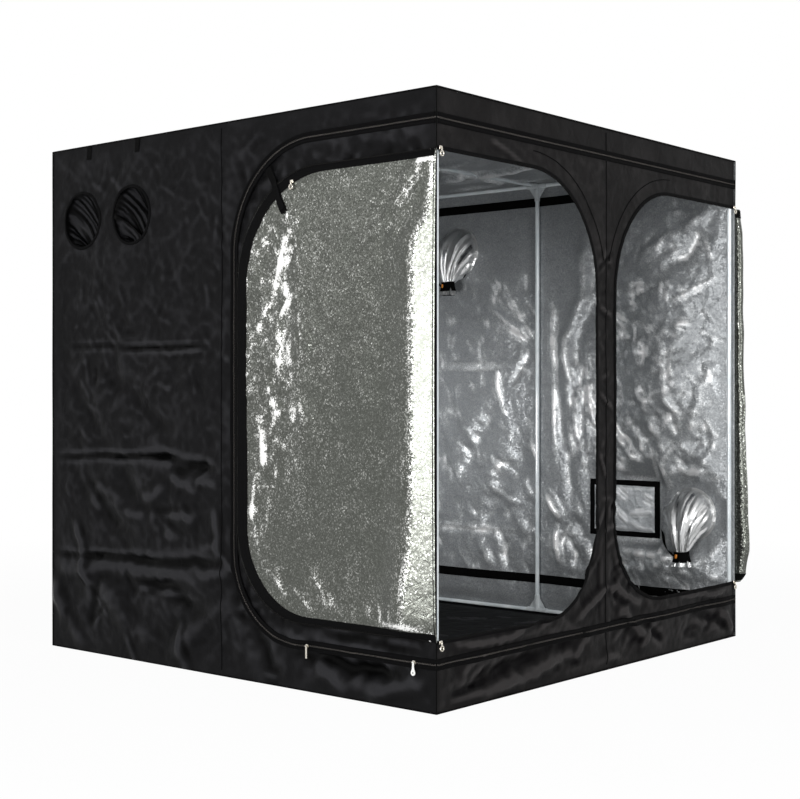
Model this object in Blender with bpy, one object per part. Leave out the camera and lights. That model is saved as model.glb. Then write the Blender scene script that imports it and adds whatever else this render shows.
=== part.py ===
"""Indoor grow tent: steel poles in plastic connectors, dressed in lined cloth, with two swinging doors.

Metres, +Z up, origin at the bottom centre of the cube of cloth. The front wall, with its two door openings,
faces -Y. Left is -X. Both door flaps rest folded back round the front corners onto the side walls.
"""

import math

import bmesh
import bpy
from mathutils import Euler, Matrix, Vector

# The tent
TENT_WIDTH = 2.0
TENT_DEPTH = 2.0
TENT_HEIGHT = 2.0
CLOTH = 0.002
GAP = 0.0003

# Poles and the sleeves that hold them
TUBE_RADIUS = 0.0095
TUBE_WALL = 0.0008
SLEEVE_WALL = 0.0028
SLEEVE_TAPER = 0.0008
WEB_SETBACK = 0.008
SLEEVE_ALONG = 0.0535
SLEEVE_UP = 0.070
SOCKET_FLOOR = 0.0015
WEB_THICKNESS = 0.004
SPIGOT_LENGTH = 0.045
CEILING_JOINT_X = 0.47

# Webbing belts round the inside
BELT_THICKNESS = 0.0015
BELT_WIDTH = 0.040
BELT_TOP_DROP = 0.090
BELT_BOTTOM_RISE = 0.160

# Door openings in the front wall, and the flaps that close them
DOOR_SILL = 0.230
DOOR_HEAD_DROP = 0.200
MULLION_WIDTH = 0.130
DOOR_TOP_RADIUS = 0.400
DOOR_BOTTOM_RADIUS = 0.320
FLAP_STANDOFF = 0.004
HINGE_OFFSET = 0.006
FLAP_ZIP_GAP = 0.001
FLAP_MARGIN = 0.040
FLAP_RISE_REACH = 0.180

# The folded flap's folds: a roll along the hinge, a fan from its top corner and an upright crease
ROLL_DEPTH = 0.030
ROLL_REACH = 0.085
ROLL_SPREAD = 0.050
ROLL_LOSS_SHARE = 0.35
FOLD_DEPTH = 0.011
FOLDS_PER_TURN = 11
FOLD_START = 0.6
FAN_RISE_SHARES = (0.12, 0.45)
FAN_FALL_SHARES = (0.9, 1.5)
CREASE_DEPTH = 0.009
CREASE_PLACE_SHARE = 0.82
CREASE_SPREAD_SHARE = 0.07
CREASE_RISE_SHARES = (0.45, 0.62)
CREASE_WAVES = 9
CREASE_WAVE_SHARE = 0.4
COLUMN_CROWDING = 1.4

# Hook-and-loop tie straps on the flaps
STRAP_WIDTH = 0.028
STRAP_THICKNESS = 0.0015
STRAP_LENGTH = 0.190
STRAP_LEAN_DEGREES = 60.0
STRAP_ZIP_CLEARANCE = 0.004
STRAP_RAMP = 0.020
STRAP_PRESS = 0.050

# The panel zip, one loop over three walls, and its sliders
ZIP_TAPE = 0.014
ZIP_THICKNESS = 0.002
ZIP_TOP_DROP = 0.100
ZIP_BOTTOM_RISE = 0.156
ZIP_FLAP_GAP = 0.014
ZIP_TOP_RADIUS = 0.376
ZIP_BOTTOM_RADIUS = 0.300
SLIDER_LENGTH = 0.016
SLIDER_HEIGHT = 0.012
SLIDER_THICKNESS = 0.003
SLIDER_NOSE = 0.004
BRIDGE_BAR = 0.0022
BRIDGE_LEG = 0.0023
TAB_WIDTH = 0.0076
TAB_THICKNESS = 0.0014
TAB_LENGTH = 0.042
TAB_RING_WALL = 0.0010
TAB_SIDE_GAP = 0.0004
TAB_LOOSENESS = 0.0004
REAR_SLIDER_FROM_BEND = 0.070
FRONT_SLIDER_FROM_CORNER = 0.090

# Duct ports with gathered socks
PORT_RADIUS = 0.1065
PORT_TOP_DROP = 0.293
PORT_FROM_BACK = 0.192
PORT_PITCH = 0.302
INNER_PORT_FROM_BACK = 0.526
INNER_PORT_TOP_DROP = 0.291
LOW_PORT_FROM_FRONT = 0.205
LOW_PORT_HEIGHT = 0.500
SOCK_CLOTH = 0.0015
SOCK_FLANGE = 0.012
SOCK_DEPTH = 0.105
SOCK_HANG = 0.215
PLEATS = 5
SOCK_NECK_SHARE = 0.30
SOCK_PLEAT_SHARE = 0.22
SOCK_TIP_SHARES = (0.94, 0.86)

# Rings of a sock inside its mouth: shares of its depth, hang, port radius and pleat, with the tilt
SOCK_RING_SHARES = [
    ((0.40, 0.03, 0.97, 0.5), 6),
    ((0.66, 0.10, 0.86, 1.0), 20),
    ((0.88, 0.28, 0.62, 1.0), 50),
    ((0.92, 0.52, SOCK_NECK_SHARE, 1.0), 80),
    ((0.92, 0.62, SOCK_NECK_SHARE, 1.0), 88),
    ((0.94, 0.82, 0.40, 1.6), 90),
    ((0.94, 1.00, 0.46, 2.0), 90),
]

# The window in the right wall, its mesh and its cover
WINDOW_WIDTH = 0.310
WINDOW_HEIGHT = 0.200
WINDOW_CORNER = 0.012
WINDOW_FROM_FRONT = 0.5375
WINDOW_MIDDLE_HEIGHT = 0.512
MESH_THICKNESS = 0.001
MESH_BORDER = 0.020
COVER_BORDER = 0.025
MESH_BAR = 0.004
MESH_COLUMNS = 9
MESH_ROWS = 6

# The spill tray on the floor
TRAY_THICKNESS = 0.0015
TRAY_LIP = 0.008
TRAY_CLEARANCE = 0.002

# How finely round shapes are faceted
TUBE_SIDES = 12
ARC_STEPS = 7
PORT_SIDES = 32
FLAP_COLUMNS = 15
FLAP_STRAIGHT_ROWS = 7
POINTS_PER_PLEAT = 4
CORNER_STEPS = 4
CUT_OVERRUN = 0.002

# Worked out from the sizes above
SLEEVE_BORE = TUBE_RADIUS + GAP
SLEEVE_RADIUS = SLEEVE_BORE + SLEEVE_WALL
HUB_RADIUS = SLEEVE_RADIUS + SLEEVE_TAPER
SOCKET_START = SLEEVE_BORE + SLEEVE_WALL + SOCKET_FLOOR
HALF_WIDTH = TENT_WIDTH / 2
HALF_DEPTH = TENT_DEPTH / 2
FRAME_INSET = CLOTH + GAP + BELT_THICKNESS + GAP + HUB_RADIUS
FRAME_X = HALF_WIDTH - FRAME_INSET
FRAME_Y = HALF_DEPTH - FRAME_INSET
FRAME_BOTTOM = CLOTH + GAP + HUB_RADIUS
FRAME_TOP = TENT_HEIGHT - FRAME_BOTTOM
DOOR_BOTTOM = DOOR_SILL
DOOR_TOP = TENT_HEIGHT - DOOR_HEAD_DROP
DOOR_EDGE_X = MULLION_WIDTH / 2
HINGE_X = HALF_WIDTH + FLAP_STANDOFF - HINGE_OFFSET
HINGE_Y = -HALF_DEPTH - FLAP_STANDOFF - HINGE_OFFSET
FLAP_WIDTH = HINGE_X - DOOR_EDGE_X - FLAP_ZIP_GAP
ZIP_SIDE_END = HINGE_Y + FLAP_WIDTH + ZIP_FLAP_GAP
BAR_STANDOFF = BRIDGE_BAR * math.sqrt(2) / 2 + TAB_LOOSENESS + TAB_RING_WALL
SLIDER_BASE = GAP + ZIP_THICKNESS + GAP
SLIDER_FACE = SLIDER_BASE + SLIDER_THICKNESS
BAR_OUT = SLIDER_FACE + GAP + BAR_STANDOFF
WINDOW_Y = -HALF_DEPTH + WINDOW_FROM_FRONT
MESH_X = HALF_WIDTH - CLOTH - GAP - MESH_THICKNESS / 2
COVER_X = MESH_X - MESH_THICKNESS / 2 - GAP - CLOTH / 2

SIDES = {"left": -1, "right": 1}
QUARTER = math.pi / 2
FACET_TURN_SHARES = (0, 0.29, 0.63)
HUB_BACK_SHARE = 0.83
WEB_ROOT_SHARE = 0.7
MERGE_SHARE = 0.01
SIDE_WALL_TURN = Euler((QUARTER, 0, QUARTER))
END_WALL_TURN = Euler((QUARTER, 0, 0))


# Materials


def material(name, colour, roughness, metallic=0.0):
    """A Principled material, made once for each name."""
    made = bpy.data.materials.get(name)
    if made:
        return made
    made = bpy.data.materials.new(name)
    made.use_nodes = True
    shader = made.node_tree.nodes["Principled BSDF"]
    shader.inputs["Base Color"].default_value = (*colour, 1.0)
    shader.inputs["Roughness"].default_value = roughness
    shader.inputs["Metallic"].default_value = metallic
    made.diffuse_color = (*colour, 1.0)
    return made


def outer_cloth():
    return material("coated black oxford cloth", (0.016, 0.016, 0.018), 0.55)


def silver_lining():
    return material("diamond reflective film", (0.30, 0.31, 0.30), 0.32, 0.75)


def webbing():
    return material("black polypropylene webbing", (0.010, 0.010, 0.011), 0.7)


def steel():
    return material("white enamelled steel tube", (0.75, 0.76, 0.77), 0.3, 0.2)


def connector_plastic():
    return material("light grey moulded nylon", (0.50, 0.51, 0.52), 0.45)


def zip_tape():
    return material("black nylon coil zip", (0.012, 0.012, 0.013), 0.6)


def zip_metal():
    return material("nickelled zinc slider", (0.55, 0.52, 0.45), 0.28, 1.0)


def screen_mesh():
    return material("black insect mesh", (0.02, 0.02, 0.02), 0.7)


def tray_cloth():
    return material("black coated tray cloth", (0.012, 0.012, 0.013), 0.5)


# Making objects


def link(name, data, finish):
    made = bpy.data.objects.new(name, data)
    bpy.context.scene.collection.objects.link(made)
    data.materials.clear()
    data.materials.append(finish)
    return made


def mesh_object(name, bm, finish):
    """Turns the bmesh into an object with outward faces."""
    bmesh.ops.recalc_face_normals(bm, faces=bm.faces[:])
    data = bpy.data.meshes.new(name)
    bm.to_mesh(data)
    bm.free()
    return link(name, data, finish)


def smooth(made, degrees=40.0):
    made.data.shade_smooth()
    made.data.set_sharp_from_angle(angle=math.radians(degrees))
    return made


def arc(centre, radius, start, end, steps):
    """Points from one angle to the other, both included, in degrees."""
    points = []
    for step in range(steps + 1):
        angle = math.radians(start + (end - start) * step / steps)
        points.append((centre[0] + radius * math.cos(angle), centre[1] + radius * math.sin(angle)))
    return points


def rectangle(left, right, bottom, top):
    return [(left, bottom), (right, bottom), (right, top), (left, top)]


def round_rectangle(left, right, bottom, top, radius):
    corners = [
        ((right - radius, bottom + radius), -90),
        ((right - radius, top - radius), 0),
        ((left + radius, top - radius), 90),
        ((left + radius, bottom + radius), 180),
    ]
    points = []
    for centre, start in corners:
        points += arc(centre, radius, start, start + 90, CORNER_STEPS)
    return points


def circle(centre, radius, sides):
    return arc(centre, radius, 0, 360, sides)[:-1]


def sheet(name, outlines, thickness, finish):
    """A flat plate from closed outlines, the first outside and the rest holes, centred on its own plane."""
    data = bpy.data.curves.new(name, "CURVE")
    data.dimensions = "2D"
    data.fill_mode = "BOTH"
    data.extrude = thickness / 2
    for outline in outlines:
        spline = data.splines.new("POLY")
        spline.points.add(len(outline) - 1)
        for point, (across, up) in zip(spline.points, outline):
            point.co = (across, up, 0, 1)
        spline.use_cyclic_u = True
    return link(name, data, finish)


def turned(name, profile, sides, finish):
    """A solid of revolution round Z. The profile's points are (radius, height); a closed one makes a ring."""
    bm = bmesh.new()
    points = [bm.verts.new((radius, 0, height)) for radius, height in profile]
    edges = [bm.edges.new((points[i], points[(i + 1) % len(points)])) for i in range(len(points))]
    bmesh.ops.spin(bm, geom=points + edges, cent=(0, 0, 0), axis=(0, 0, 1), angle=2 * math.pi, steps=sides,
                   use_merge=True, use_duplicate=False)
    bmesh.ops.remove_doubles(bm, verts=bm.verts[:], dist=TUBE_WALL * MERGE_SHARE)
    return mesh_object(name, bm, finish)


def aim(direction):
    """The turn that takes +Z to a direction along one of the axes, facets kept in line."""
    turns = {
        (0, 0, 1): Matrix.Identity(4),
        (0, 0, -1): Matrix.Rotation(math.pi, 4, "X"),
        (1, 0, 0): Matrix.Rotation(QUARTER, 4, "Y"),
        (-1, 0, 0): Matrix.Rotation(-QUARTER, 4, "Y"),
        (0, 1, 0): Matrix.Rotation(-QUARTER, 4, "X"),
        (0, -1, 0): Matrix.Rotation(QUARTER, 4, "X"),
    }
    return turns[direction]


def combine(target, other, operation):
    """Applies a Boolean to the target and takes the other object out of the scene."""
    step = target.modifiers.new(operation.lower(), "BOOLEAN")
    step.operation = operation
    step.solver = "EXACT"
    step.object = other
    graph = bpy.context.evaluated_depsgraph_get()
    made = bpy.data.meshes.new_from_object(target.evaluated_get(graph))
    target.modifiers.clear()
    target.data = made
    bpy.data.objects.remove(other)


# The pole frame


def pole(name, start, end, direction, finish):
    """A plain tube between two points along one axis."""
    length = (Vector(end) - Vector(start)).length
    inner = TUBE_RADIUS - TUBE_WALL
    profile = [(TUBE_RADIUS, 0), (TUBE_RADIUS, length), (inner, length), (inner, 0)]
    made = smooth(turned(name, profile, TUBE_SIDES, finish))
    made.matrix_world = Matrix.Translation(start) @ aim(direction)
    return made


def spigot_pole(name, start, end, direction, finish):
    """A tube whose far end is swaged down to plug into the next length."""
    length = (Vector(end) - Vector(start)).length
    inner = TUBE_RADIUS - TUBE_WALL
    plug = inner - GAP
    plug_bore = plug - TUBE_WALL
    shoulder = length + TUBE_WALL
    tip = length + SPIGOT_LENGTH
    profile = [(TUBE_RADIUS, 0), (TUBE_RADIUS, length), (plug, shoulder), (plug, tip), (plug_bore, tip),
               (plug_bore, length - TUBE_WALL), (inner, length - 2 * TUBE_WALL), (inner, 0)]
    made = smooth(turned(name, profile, TUBE_SIDES, finish), 25.0)
    made.matrix_world = Matrix.Translation(start) @ aim(direction)
    return made


def build_uprights():
    low = FRAME_BOTTOM + SOCKET_START + GAP
    high = FRAME_TOP - SOCKET_START - GAP
    places = {
        "corner_upright_front_left": (-FRAME_X, -FRAME_Y),
        "corner_upright_front_right": (FRAME_X, -FRAME_Y),
        "corner_upright_back_left": (-FRAME_X, FRAME_Y),
        "corner_upright_back_right": (FRAME_X, FRAME_Y),
        "middle_upright_front": (0, -FRAME_Y),
        "middle_upright_back": (0, FRAME_Y),
        "middle_upright_left": (-FRAME_X, 0),
        "middle_upright_right": (FRAME_X, 0),
    }
    for name, (x, y) in places.items():
        pole(name, (x, y, low), (x, y, high), (0, 0, 1), steel())


def build_rails():
    """Each rail runs the whole side, through the sleeve of the middle connector."""
    clear = SOCKET_START + GAP
    for level, z in (("bottom", FRAME_BOTTOM), ("top", FRAME_TOP)):
        for side, y in (("front", -FRAME_Y), ("back", FRAME_Y)):
            pole(f"{level}_rail_{side}", (-FRAME_X + clear, y, z), (FRAME_X - clear, y, z), (1, 0, 0), steel())
        for side, x in (("left", -FRAME_X), ("right", FRAME_X)):
            pole(f"{level}_rail_{side}", (x, -FRAME_Y + clear, z), (x, FRAME_Y - clear, z), (0, 1, 0), steel())


def build_ceiling_poles():
    """One pole in two lengths, from the left middle connector to the right one."""
    reach = FRAME_X - SOCKET_START - GAP
    joint = CEILING_JOINT_X
    shoulder = joint - TUBE_WALL - GAP
    spigot_pole("ceiling_pole_left", (-reach, 0, FRAME_TOP), (shoulder, 0, FRAME_TOP), (1, 0, 0), steel())
    pole("ceiling_pole_right", (joint, 0, FRAME_TOP), (reach, 0, FRAME_TOP), (1, 0, 0), steel())


# The moulded connectors


def sleeve(direction, back, reach, turn_share, finish):
    """A round sleeve that tapers to its mouth, its facets turned by a share of one facet."""
    root = SLEEVE_RADIUS if back == -reach else HUB_RADIUS
    profile = [(root, back), (SLEEVE_RADIUS, reach), (0, reach), (0, back)]
    made = turned("sleeve", profile, TUBE_SIDES, finish)
    facet = 2 * math.pi / TUBE_SIDES
    made.matrix_world = aim(direction) @ Matrix.Rotation(facet * turn_share, 4, "Z")
    return made


def socket(direction, start, end, finish):
    """The cutter that bores a sleeve out for its pole."""
    profile = [(SLEEVE_BORE, start), (SLEEVE_BORE, end + CUT_OVERRUN), (0, end + CUT_OVERRUN), (0, start)]
    made = turned("socket", profile, TUBE_SIDES, finish)
    made.matrix_world = aim(direction)
    return made


def web(across_turn, finish):
    """A triangular web that braces the upright sleeve against the one along the wall."""
    along = SLEEVE_ALONG - WEB_SETBACK
    up = SLEEVE_UP - WEB_SETBACK
    root = SLEEVE_RADIUS * WEB_ROOT_SHARE
    made = sheet("web", [[(0, 0), (along, root), (root, up)]], WEB_THICKNESS, finish)
    made.matrix_world = Matrix.Rotation(across_turn, 4, "Z") @ END_WALL_TURN.to_matrix().to_4x4()
    return made


def solid_copy(made):
    """The curve as a mesh object, ready for a Boolean."""
    graph = bpy.context.evaluated_depsgraph_get()
    data = bpy.data.meshes.new_from_object(made.evaluated_get(graph))
    bm = bmesh.new()
    bm.from_mesh(data)
    bmesh.ops.remove_doubles(bm, verts=bm.verts[:], dist=TUBE_WALL * MERGE_SHARE)
    bmesh.ops.recalc_face_normals(bm, faces=bm.faces[:])
    bm.to_mesh(data)
    bm.free()
    copy = bpy.data.objects.new(made.name + "_solid", data)
    bpy.context.scene.collection.objects.link(copy)
    copy.matrix_world = made.matrix_world.copy()
    bpy.data.objects.remove(made)
    return copy


def connector_mesh(arms, webs, finish):
    """Sleeves and webs joined, then bored out. An arm is a direction, its start behind the hub and its reach.

    One that starts as far back as it reaches is bored right through, and others have a floor to the socket.
    """
    body = None
    for number, (direction, back, reach) in enumerate(arms):
        made = sleeve(direction, back, reach, FACET_TURN_SHARES[number], finish)
        if body is None:
            body = made
            bpy.context.view_layer.update()
        else:
            combine(body, made, "UNION")
    for turn in webs:
        combine(body, solid_copy(web(turn, finish)), "UNION")
    for direction, back, reach in arms:
        start = back - CUT_OVERRUN if back == -reach else SOCKET_START
        combine(body, socket(direction, start, reach, finish), "DIFFERENCE")
    data = body.data
    data.transform(body.matrix_world)
    bpy.data.objects.remove(body)
    data.materials.clear()
    data.materials.append(finish)
    return data


def place_connector(name, data, place, turn):
    made = bpy.data.objects.new(name, data)
    bpy.context.scene.collection.objects.link(made)
    made.matrix_world = Matrix.Translation(place) @ turn
    return smooth(made, 30.0)


def build_connectors():
    """Corner and middle connectors. The top ones are the bottom ones turned over."""
    plastic = connector_plastic()
    behind = -SLEEVE_RADIUS * HUB_BACK_SHARE
    upright = ((0, 0, 1), behind, SLEEVE_UP)
    corner = connector_mesh([((1, 0, 0), behind, SLEEVE_ALONG), ((0, 1, 0), behind, SLEEVE_ALONG), upright],
                            (0, QUARTER), plastic)
    run = ((1, 0, 0), -SLEEVE_ALONG, SLEEVE_ALONG)
    stem = ((0, 0, 1), 0, SLEEVE_UP)
    tee = connector_mesh([run, stem], (0, math.pi), plastic)
    cross = connector_mesh([run, stem, ((0, 1, 0), 0, SLEEVE_ALONG)], (0, math.pi), plastic)
    flip = Matrix.Rotation(math.pi, 4, Vector((1, 1, 0)))
    corners = {
        "front_left": (-FRAME_X, -FRAME_Y, 0),
        "front_right": (FRAME_X, -FRAME_Y, 1),
        "back_right": (FRAME_X, FRAME_Y, 2),
        "back_left": (-FRAME_X, FRAME_Y, 3),
    }
    for side, (x, y, quarters) in corners.items():
        turn = Matrix.Rotation(quarters * QUARTER, 4, "Z")
        place_connector(f"foot_corner_{side}", corner, (x, y, FRAME_BOTTOM), turn)
        place_connector(f"top_corner_{side}", corner, (x, y, FRAME_TOP), turn @ flip)
    middles = {
        "front": (0, -FRAME_Y, 0, tee),
        "right": (FRAME_X, 0, 1, cross),
        "back": (0, FRAME_Y, 2, tee),
        "left": (-FRAME_X, 0, 3, cross),
    }
    over = Matrix.Rotation(math.pi, 4, "Y")
    for side, (x, y, quarters, top) in middles.items():
        turn = Matrix.Rotation(quarters * QUARTER, 4, "Z")
        place_connector(f"foot_tee_{side}", tee, (x, y, FRAME_BOTTOM), turn)
        place_connector(f"top_tee_{side}", top, (x, y, FRAME_TOP), turn @ over)


# The cloth walls


def side_sheet(name, x, outlines, thickness, finish):
    """A sheet parallel to the side walls. Its outlines are in (y, z)."""
    made = sheet(name, outlines, thickness, finish)
    made.rotation_euler = SIDE_WALL_TURN
    made.location = (x, 0, 0)
    return made


def wall_bottom():
    return CLOTH + GAP


def wall_top():
    return TENT_HEIGHT - CLOTH - GAP


def left_port_places():
    y = HALF_DEPTH - PORT_FROM_BACK
    z = TENT_HEIGHT - PORT_TOP_DROP
    return [(y, z), (y - PORT_PITCH, z)]


def right_port_places():
    upper = (HALF_DEPTH - INNER_PORT_FROM_BACK, TENT_HEIGHT - INNER_PORT_TOP_DROP)
    low = (-HALF_DEPTH + LOW_PORT_FROM_FRONT, LOW_PORT_HEIGHT)
    return [upper, low]


def window_outline(border):
    half = WINDOW_WIDTH / 2 + border
    tall = WINDOW_HEIGHT / 2 + border
    return round_rectangle(WINDOW_Y - half, WINDOW_Y + half, WINDOW_MIDDLE_HEIGHT - tall,
                           WINDOW_MIDDLE_HEIGHT + tall, WINDOW_CORNER)


def door_edge(side):
    """The curved edge of one door opening in the front wall, from its sill at the corner up to its head."""
    edge = DOOR_EDGE_X
    low = (edge + DOOR_BOTTOM_RADIUS, DOOR_BOTTOM + DOOR_BOTTOM_RADIUS)
    high = (edge + DOOR_TOP_RADIUS, DOOR_TOP - DOOR_TOP_RADIUS)
    points = arc(low, DOOR_BOTTOM_RADIUS, 270, 180, ARC_STEPS)
    points += arc(high, DOOR_TOP_RADIUS, 180, 90, ARC_STEPS)
    return [(side * x, z) for x, z in points]


def front_wall_outline():
    """The mullion with a band above and below: the door openings run out to the corners."""
    edge = HALF_WIDTH - CLOTH - GAP
    outline = [(edge, DOOR_BOTTOM)] + door_edge(1) + [(edge, DOOR_TOP), (edge, wall_top())]
    outline += [(-edge, wall_top()), (-edge, DOOR_TOP)] + door_edge(-1)[::-1]
    return outline + [(-edge, DOOR_BOTTOM), (-edge, wall_bottom()), (edge, wall_bottom())]


def build_walls():
    full = rectangle(-HALF_DEPTH, HALF_DEPTH, wall_bottom(), wall_top())
    plane = HALF_WIDTH - CLOTH / 2
    left_holes = [circle(place, PORT_RADIUS, PORT_SIDES) for place in left_port_places()]
    right_holes = [circle(place, PORT_RADIUS, PORT_SIDES) for place in right_port_places()]
    side_sheet("wall_left", -plane, [full] + left_holes, CLOTH, outer_cloth())
    side_sheet("wall_right", plane, [full] + right_holes + [window_outline(0)], CLOTH, outer_cloth())
    front = sheet("wall_front", [front_wall_outline()], CLOTH, outer_cloth())
    front.rotation_euler = END_WALL_TURN
    front.location = (0, -HALF_DEPTH + CLOTH / 2, 0)
    edge = HALF_WIDTH - CLOTH - GAP
    back = sheet("wall_back", [rectangle(-edge, edge, wall_bottom(), wall_top())], CLOTH, outer_cloth())
    back.rotation_euler = END_WALL_TURN
    back.location = (0, HALF_DEPTH - CLOTH / 2, 0)
    square = rectangle(-HALF_WIDTH, HALF_WIDTH, -HALF_DEPTH, HALF_DEPTH)
    roof = sheet("roof", [square], CLOTH, outer_cloth())
    roof.location = (0, 0, TENT_HEIGHT - CLOTH / 2)
    floor = sheet("floor_panel", [square], CLOTH, outer_cloth())
    floor.location = (0, 0, CLOTH / 2)


def build_spill_tray():
    """A shallow loose tray: a flat sheet whose rim is turned up inside the bottom rails."""
    half_x = FRAME_X - HUB_RADIUS - TRAY_CLEARANCE
    half_y = FRAME_Y - HUB_RADIUS - TRAY_CLEARANCE
    base = CLOTH + GAP
    bm = bmesh.new()
    corners = [bm.verts.new((x, y, base)) for x, y in rectangle(-half_x, half_x, -half_y, half_y)]
    bottom = bm.faces.new(corners)
    raised = bmesh.ops.extrude_face_region(bm, geom=[bottom])
    lifted = [part for part in raised["geom"] if isinstance(part, bmesh.types.BMVert)]
    bmesh.ops.translate(bm, verts=lifted, vec=(0, 0, TRAY_LIP))
    top = next(part for part in raised["geom"] if isinstance(part, bmesh.types.BMFace))
    bmesh.ops.inset_region(bm, faces=[top], thickness=TRAY_THICKNESS, use_even_offset=True)
    bmesh.ops.translate(bm, verts=top.verts[:], vec=(0, 0, TRAY_THICKNESS - TRAY_LIP))
    mesh_object("spill_tray", bm, tray_cloth())


def build_belts():
    """Webbing that runs once round the inside of the walls, behind the poles."""
    out_x = HALF_WIDTH - CLOTH - GAP
    out_y = HALF_DEPTH - CLOTH - GAP
    levels = {"belt_top": TENT_HEIGHT - BELT_TOP_DROP, "belt_bottom": BELT_BOTTOM_RISE}
    for name, height in levels.items():
        outer = rectangle(-out_x, out_x, -out_y, out_y)
        inner_x, inner_y = out_x - BELT_THICKNESS, out_y - BELT_THICKNESS
        inner = rectangle(-inner_x, inner_x, -inner_y, inner_y)
        belt = sheet(name, [outer, inner], BELT_WIDTH, webbing())
        belt.location = (0, 0, height)


# Duct socks


def sock_stations():
    """Rings of the sock as (distance in, distance down, radius, tilt in degrees, pleat depth)."""
    pleat = PORT_RADIUS * SOCK_NECK_SHARE * SOCK_PLEAT_SHARE
    stations = [(0, 0, PORT_RADIUS + SOCK_FLANGE, 0, 0), (SOCK_CLOTH, 0, PORT_RADIUS, 0, 0)]
    for (inward, down, wide, gathered), tilt in SOCK_RING_SHARES:
        stations.append((SOCK_DEPTH * inward, SOCK_HANG * down, PORT_RADIUS * wide, tilt, pleat * gathered))
    return stations


def build_sock(name, inward, place):
    """A gathered cloth sleeve: flange inside the wall, tied neck, hanging tail. Inward is +1 or -1 in X."""
    bm = bmesh.new()
    rings = []
    sides = PLEATS * POINTS_PER_PLEAT
    for depth, drop, radius, tilt, pleat in sock_stations():
        lean = math.radians(tilt)
        ring = []
        for number in range(sides):
            turn = 2 * math.pi * number / sides
            reach = radius + pleat * math.cos(PLEATS * turn)
            up = reach * math.cos(turn)
            ring.append(bm.verts.new((inward * (depth + up * math.sin(lean)), reach * math.sin(turn),
                                      up * math.cos(lean) - drop)))
        rings.append(ring)
    for ring, following in zip(rings, rings[1:]):
        for number in range(sides):
            after = (number + 1) % sides
            bm.faces.new((ring[number], ring[after], following[after], following[number]))
    tip_in, tip_down = SOCK_TIP_SHARES
    end = bm.verts.new((inward * SOCK_DEPTH * tip_in, 0, -SOCK_HANG * tip_down))
    for number in range(sides):
        bm.faces.new((rings[-1][number], rings[-1][(number + 1) % sides], end))
    made = mesh_object(name, bm, outer_cloth())
    wall = made.modifiers.new("cloth", "SOLIDIFY")
    wall.thickness = SOCK_CLOTH
    wall.offset = 0
    inner_face = HALF_WIDTH - CLOTH - GAP - SOCK_CLOTH / 2
    made.location = (-inward * inner_face, place[0], place[1])
    return smooth(made, 60.0)


def build_socks():
    for name, place in zip(("duct_sock_rear", "duct_sock_fore"), left_port_places()):
        build_sock(name, 1, place)
    for name, place in zip(("duct_sock_inner", "duct_sock_low"), right_port_places()):
        build_sock(name, -1, place)


# The window


def build_window():
    """Insect mesh behind the opening, and a cover that hangs inside it from its top edge."""
    half = WINDOW_WIDTH / 2
    tall = WINDOW_HEIGHT / 2
    pitch_y = (WINDOW_WIDTH - MESH_BAR) / MESH_COLUMNS
    pitch_z = (WINDOW_HEIGHT - MESH_BAR) / MESH_ROWS
    holes = []
    for column in range(MESH_COLUMNS):
        for row in range(MESH_ROWS):
            y = WINDOW_Y - half + MESH_BAR + column * pitch_y
            z = WINDOW_MIDDLE_HEIGHT - tall + MESH_BAR + row * pitch_z
            holes.append(rectangle(y, y + pitch_y - MESH_BAR, z, z + pitch_z - MESH_BAR))
    side_sheet("window_mesh", MESH_X, [window_outline(MESH_BORDER)] + holes, MESH_THICKNESS, screen_mesh())
    hinge_height = WINDOW_MIDDLE_HEIGHT + tall + COVER_BORDER
    bottom = -2 * (tall + COVER_BORDER)
    outline = round_rectangle(-half - COVER_BORDER, half + COVER_BORDER, bottom, 0, WINDOW_CORNER)
    cover = side_sheet("window_cover", COVER_X, [outline], CLOTH, silver_lining())
    cover.location = (COVER_X, WINDOW_Y, hinge_height)


# The door flaps


def blend(value, low, high):
    """Rises smoothly from 0 at low to 1 at high."""
    share = min(max((value - low) / (high - low), 0), 1)
    return share * share * (3 - 2 * share)


def bell(value):
    """A smooth hump, 1 high at 0 and gone by about 2."""
    return math.exp(-value ** 2)


def flap_rows():
    """Heights of the flap's rows with its width there: two quarter arcs joined by a straight run."""
    low_centre = (FLAP_WIDTH - DOOR_BOTTOM_RADIUS, DOOR_BOTTOM + DOOR_BOTTOM_RADIUS)
    low = arc(low_centre, DOOR_BOTTOM_RADIUS, 270, 360, ARC_STEPS)
    high_centre = (FLAP_WIDTH - DOOR_TOP_RADIUS, DOOR_TOP - DOOR_TOP_RADIUS)
    high = arc(high_centre, DOOR_TOP_RADIUS, 0, 90, ARC_STEPS)
    rise = (high[0][1] - low[-1][1]) / FLAP_STRAIGHT_ROWS
    straight = [(FLAP_WIDTH, low[-1][1] + rise * row) for row in range(1, FLAP_STRAIGHT_ROWS)]
    return low + straight + high


def edge_distance(across, height):
    """How far a point lies inside the flap's D-shaped edge."""
    inside = min(FLAP_WIDTH - across, DOOR_TOP - height, height - DOOR_BOTTOM)
    for radius, centre_height, above in (
        (DOOR_TOP_RADIUS, DOOR_TOP - DOOR_TOP_RADIUS, True),
        (DOOR_BOTTOM_RADIUS, DOOR_BOTTOM + DOOR_BOTTOM_RADIUS, False),
    ):
        past = (height > centre_height) if above else (height < centre_height)
        if past and across > FLAP_WIDTH - radius:
            away = math.hypot(across - (FLAP_WIDTH - radius), height - centre_height)
            inside = min(inside, radius - away)
    return max(inside, 0)


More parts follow.
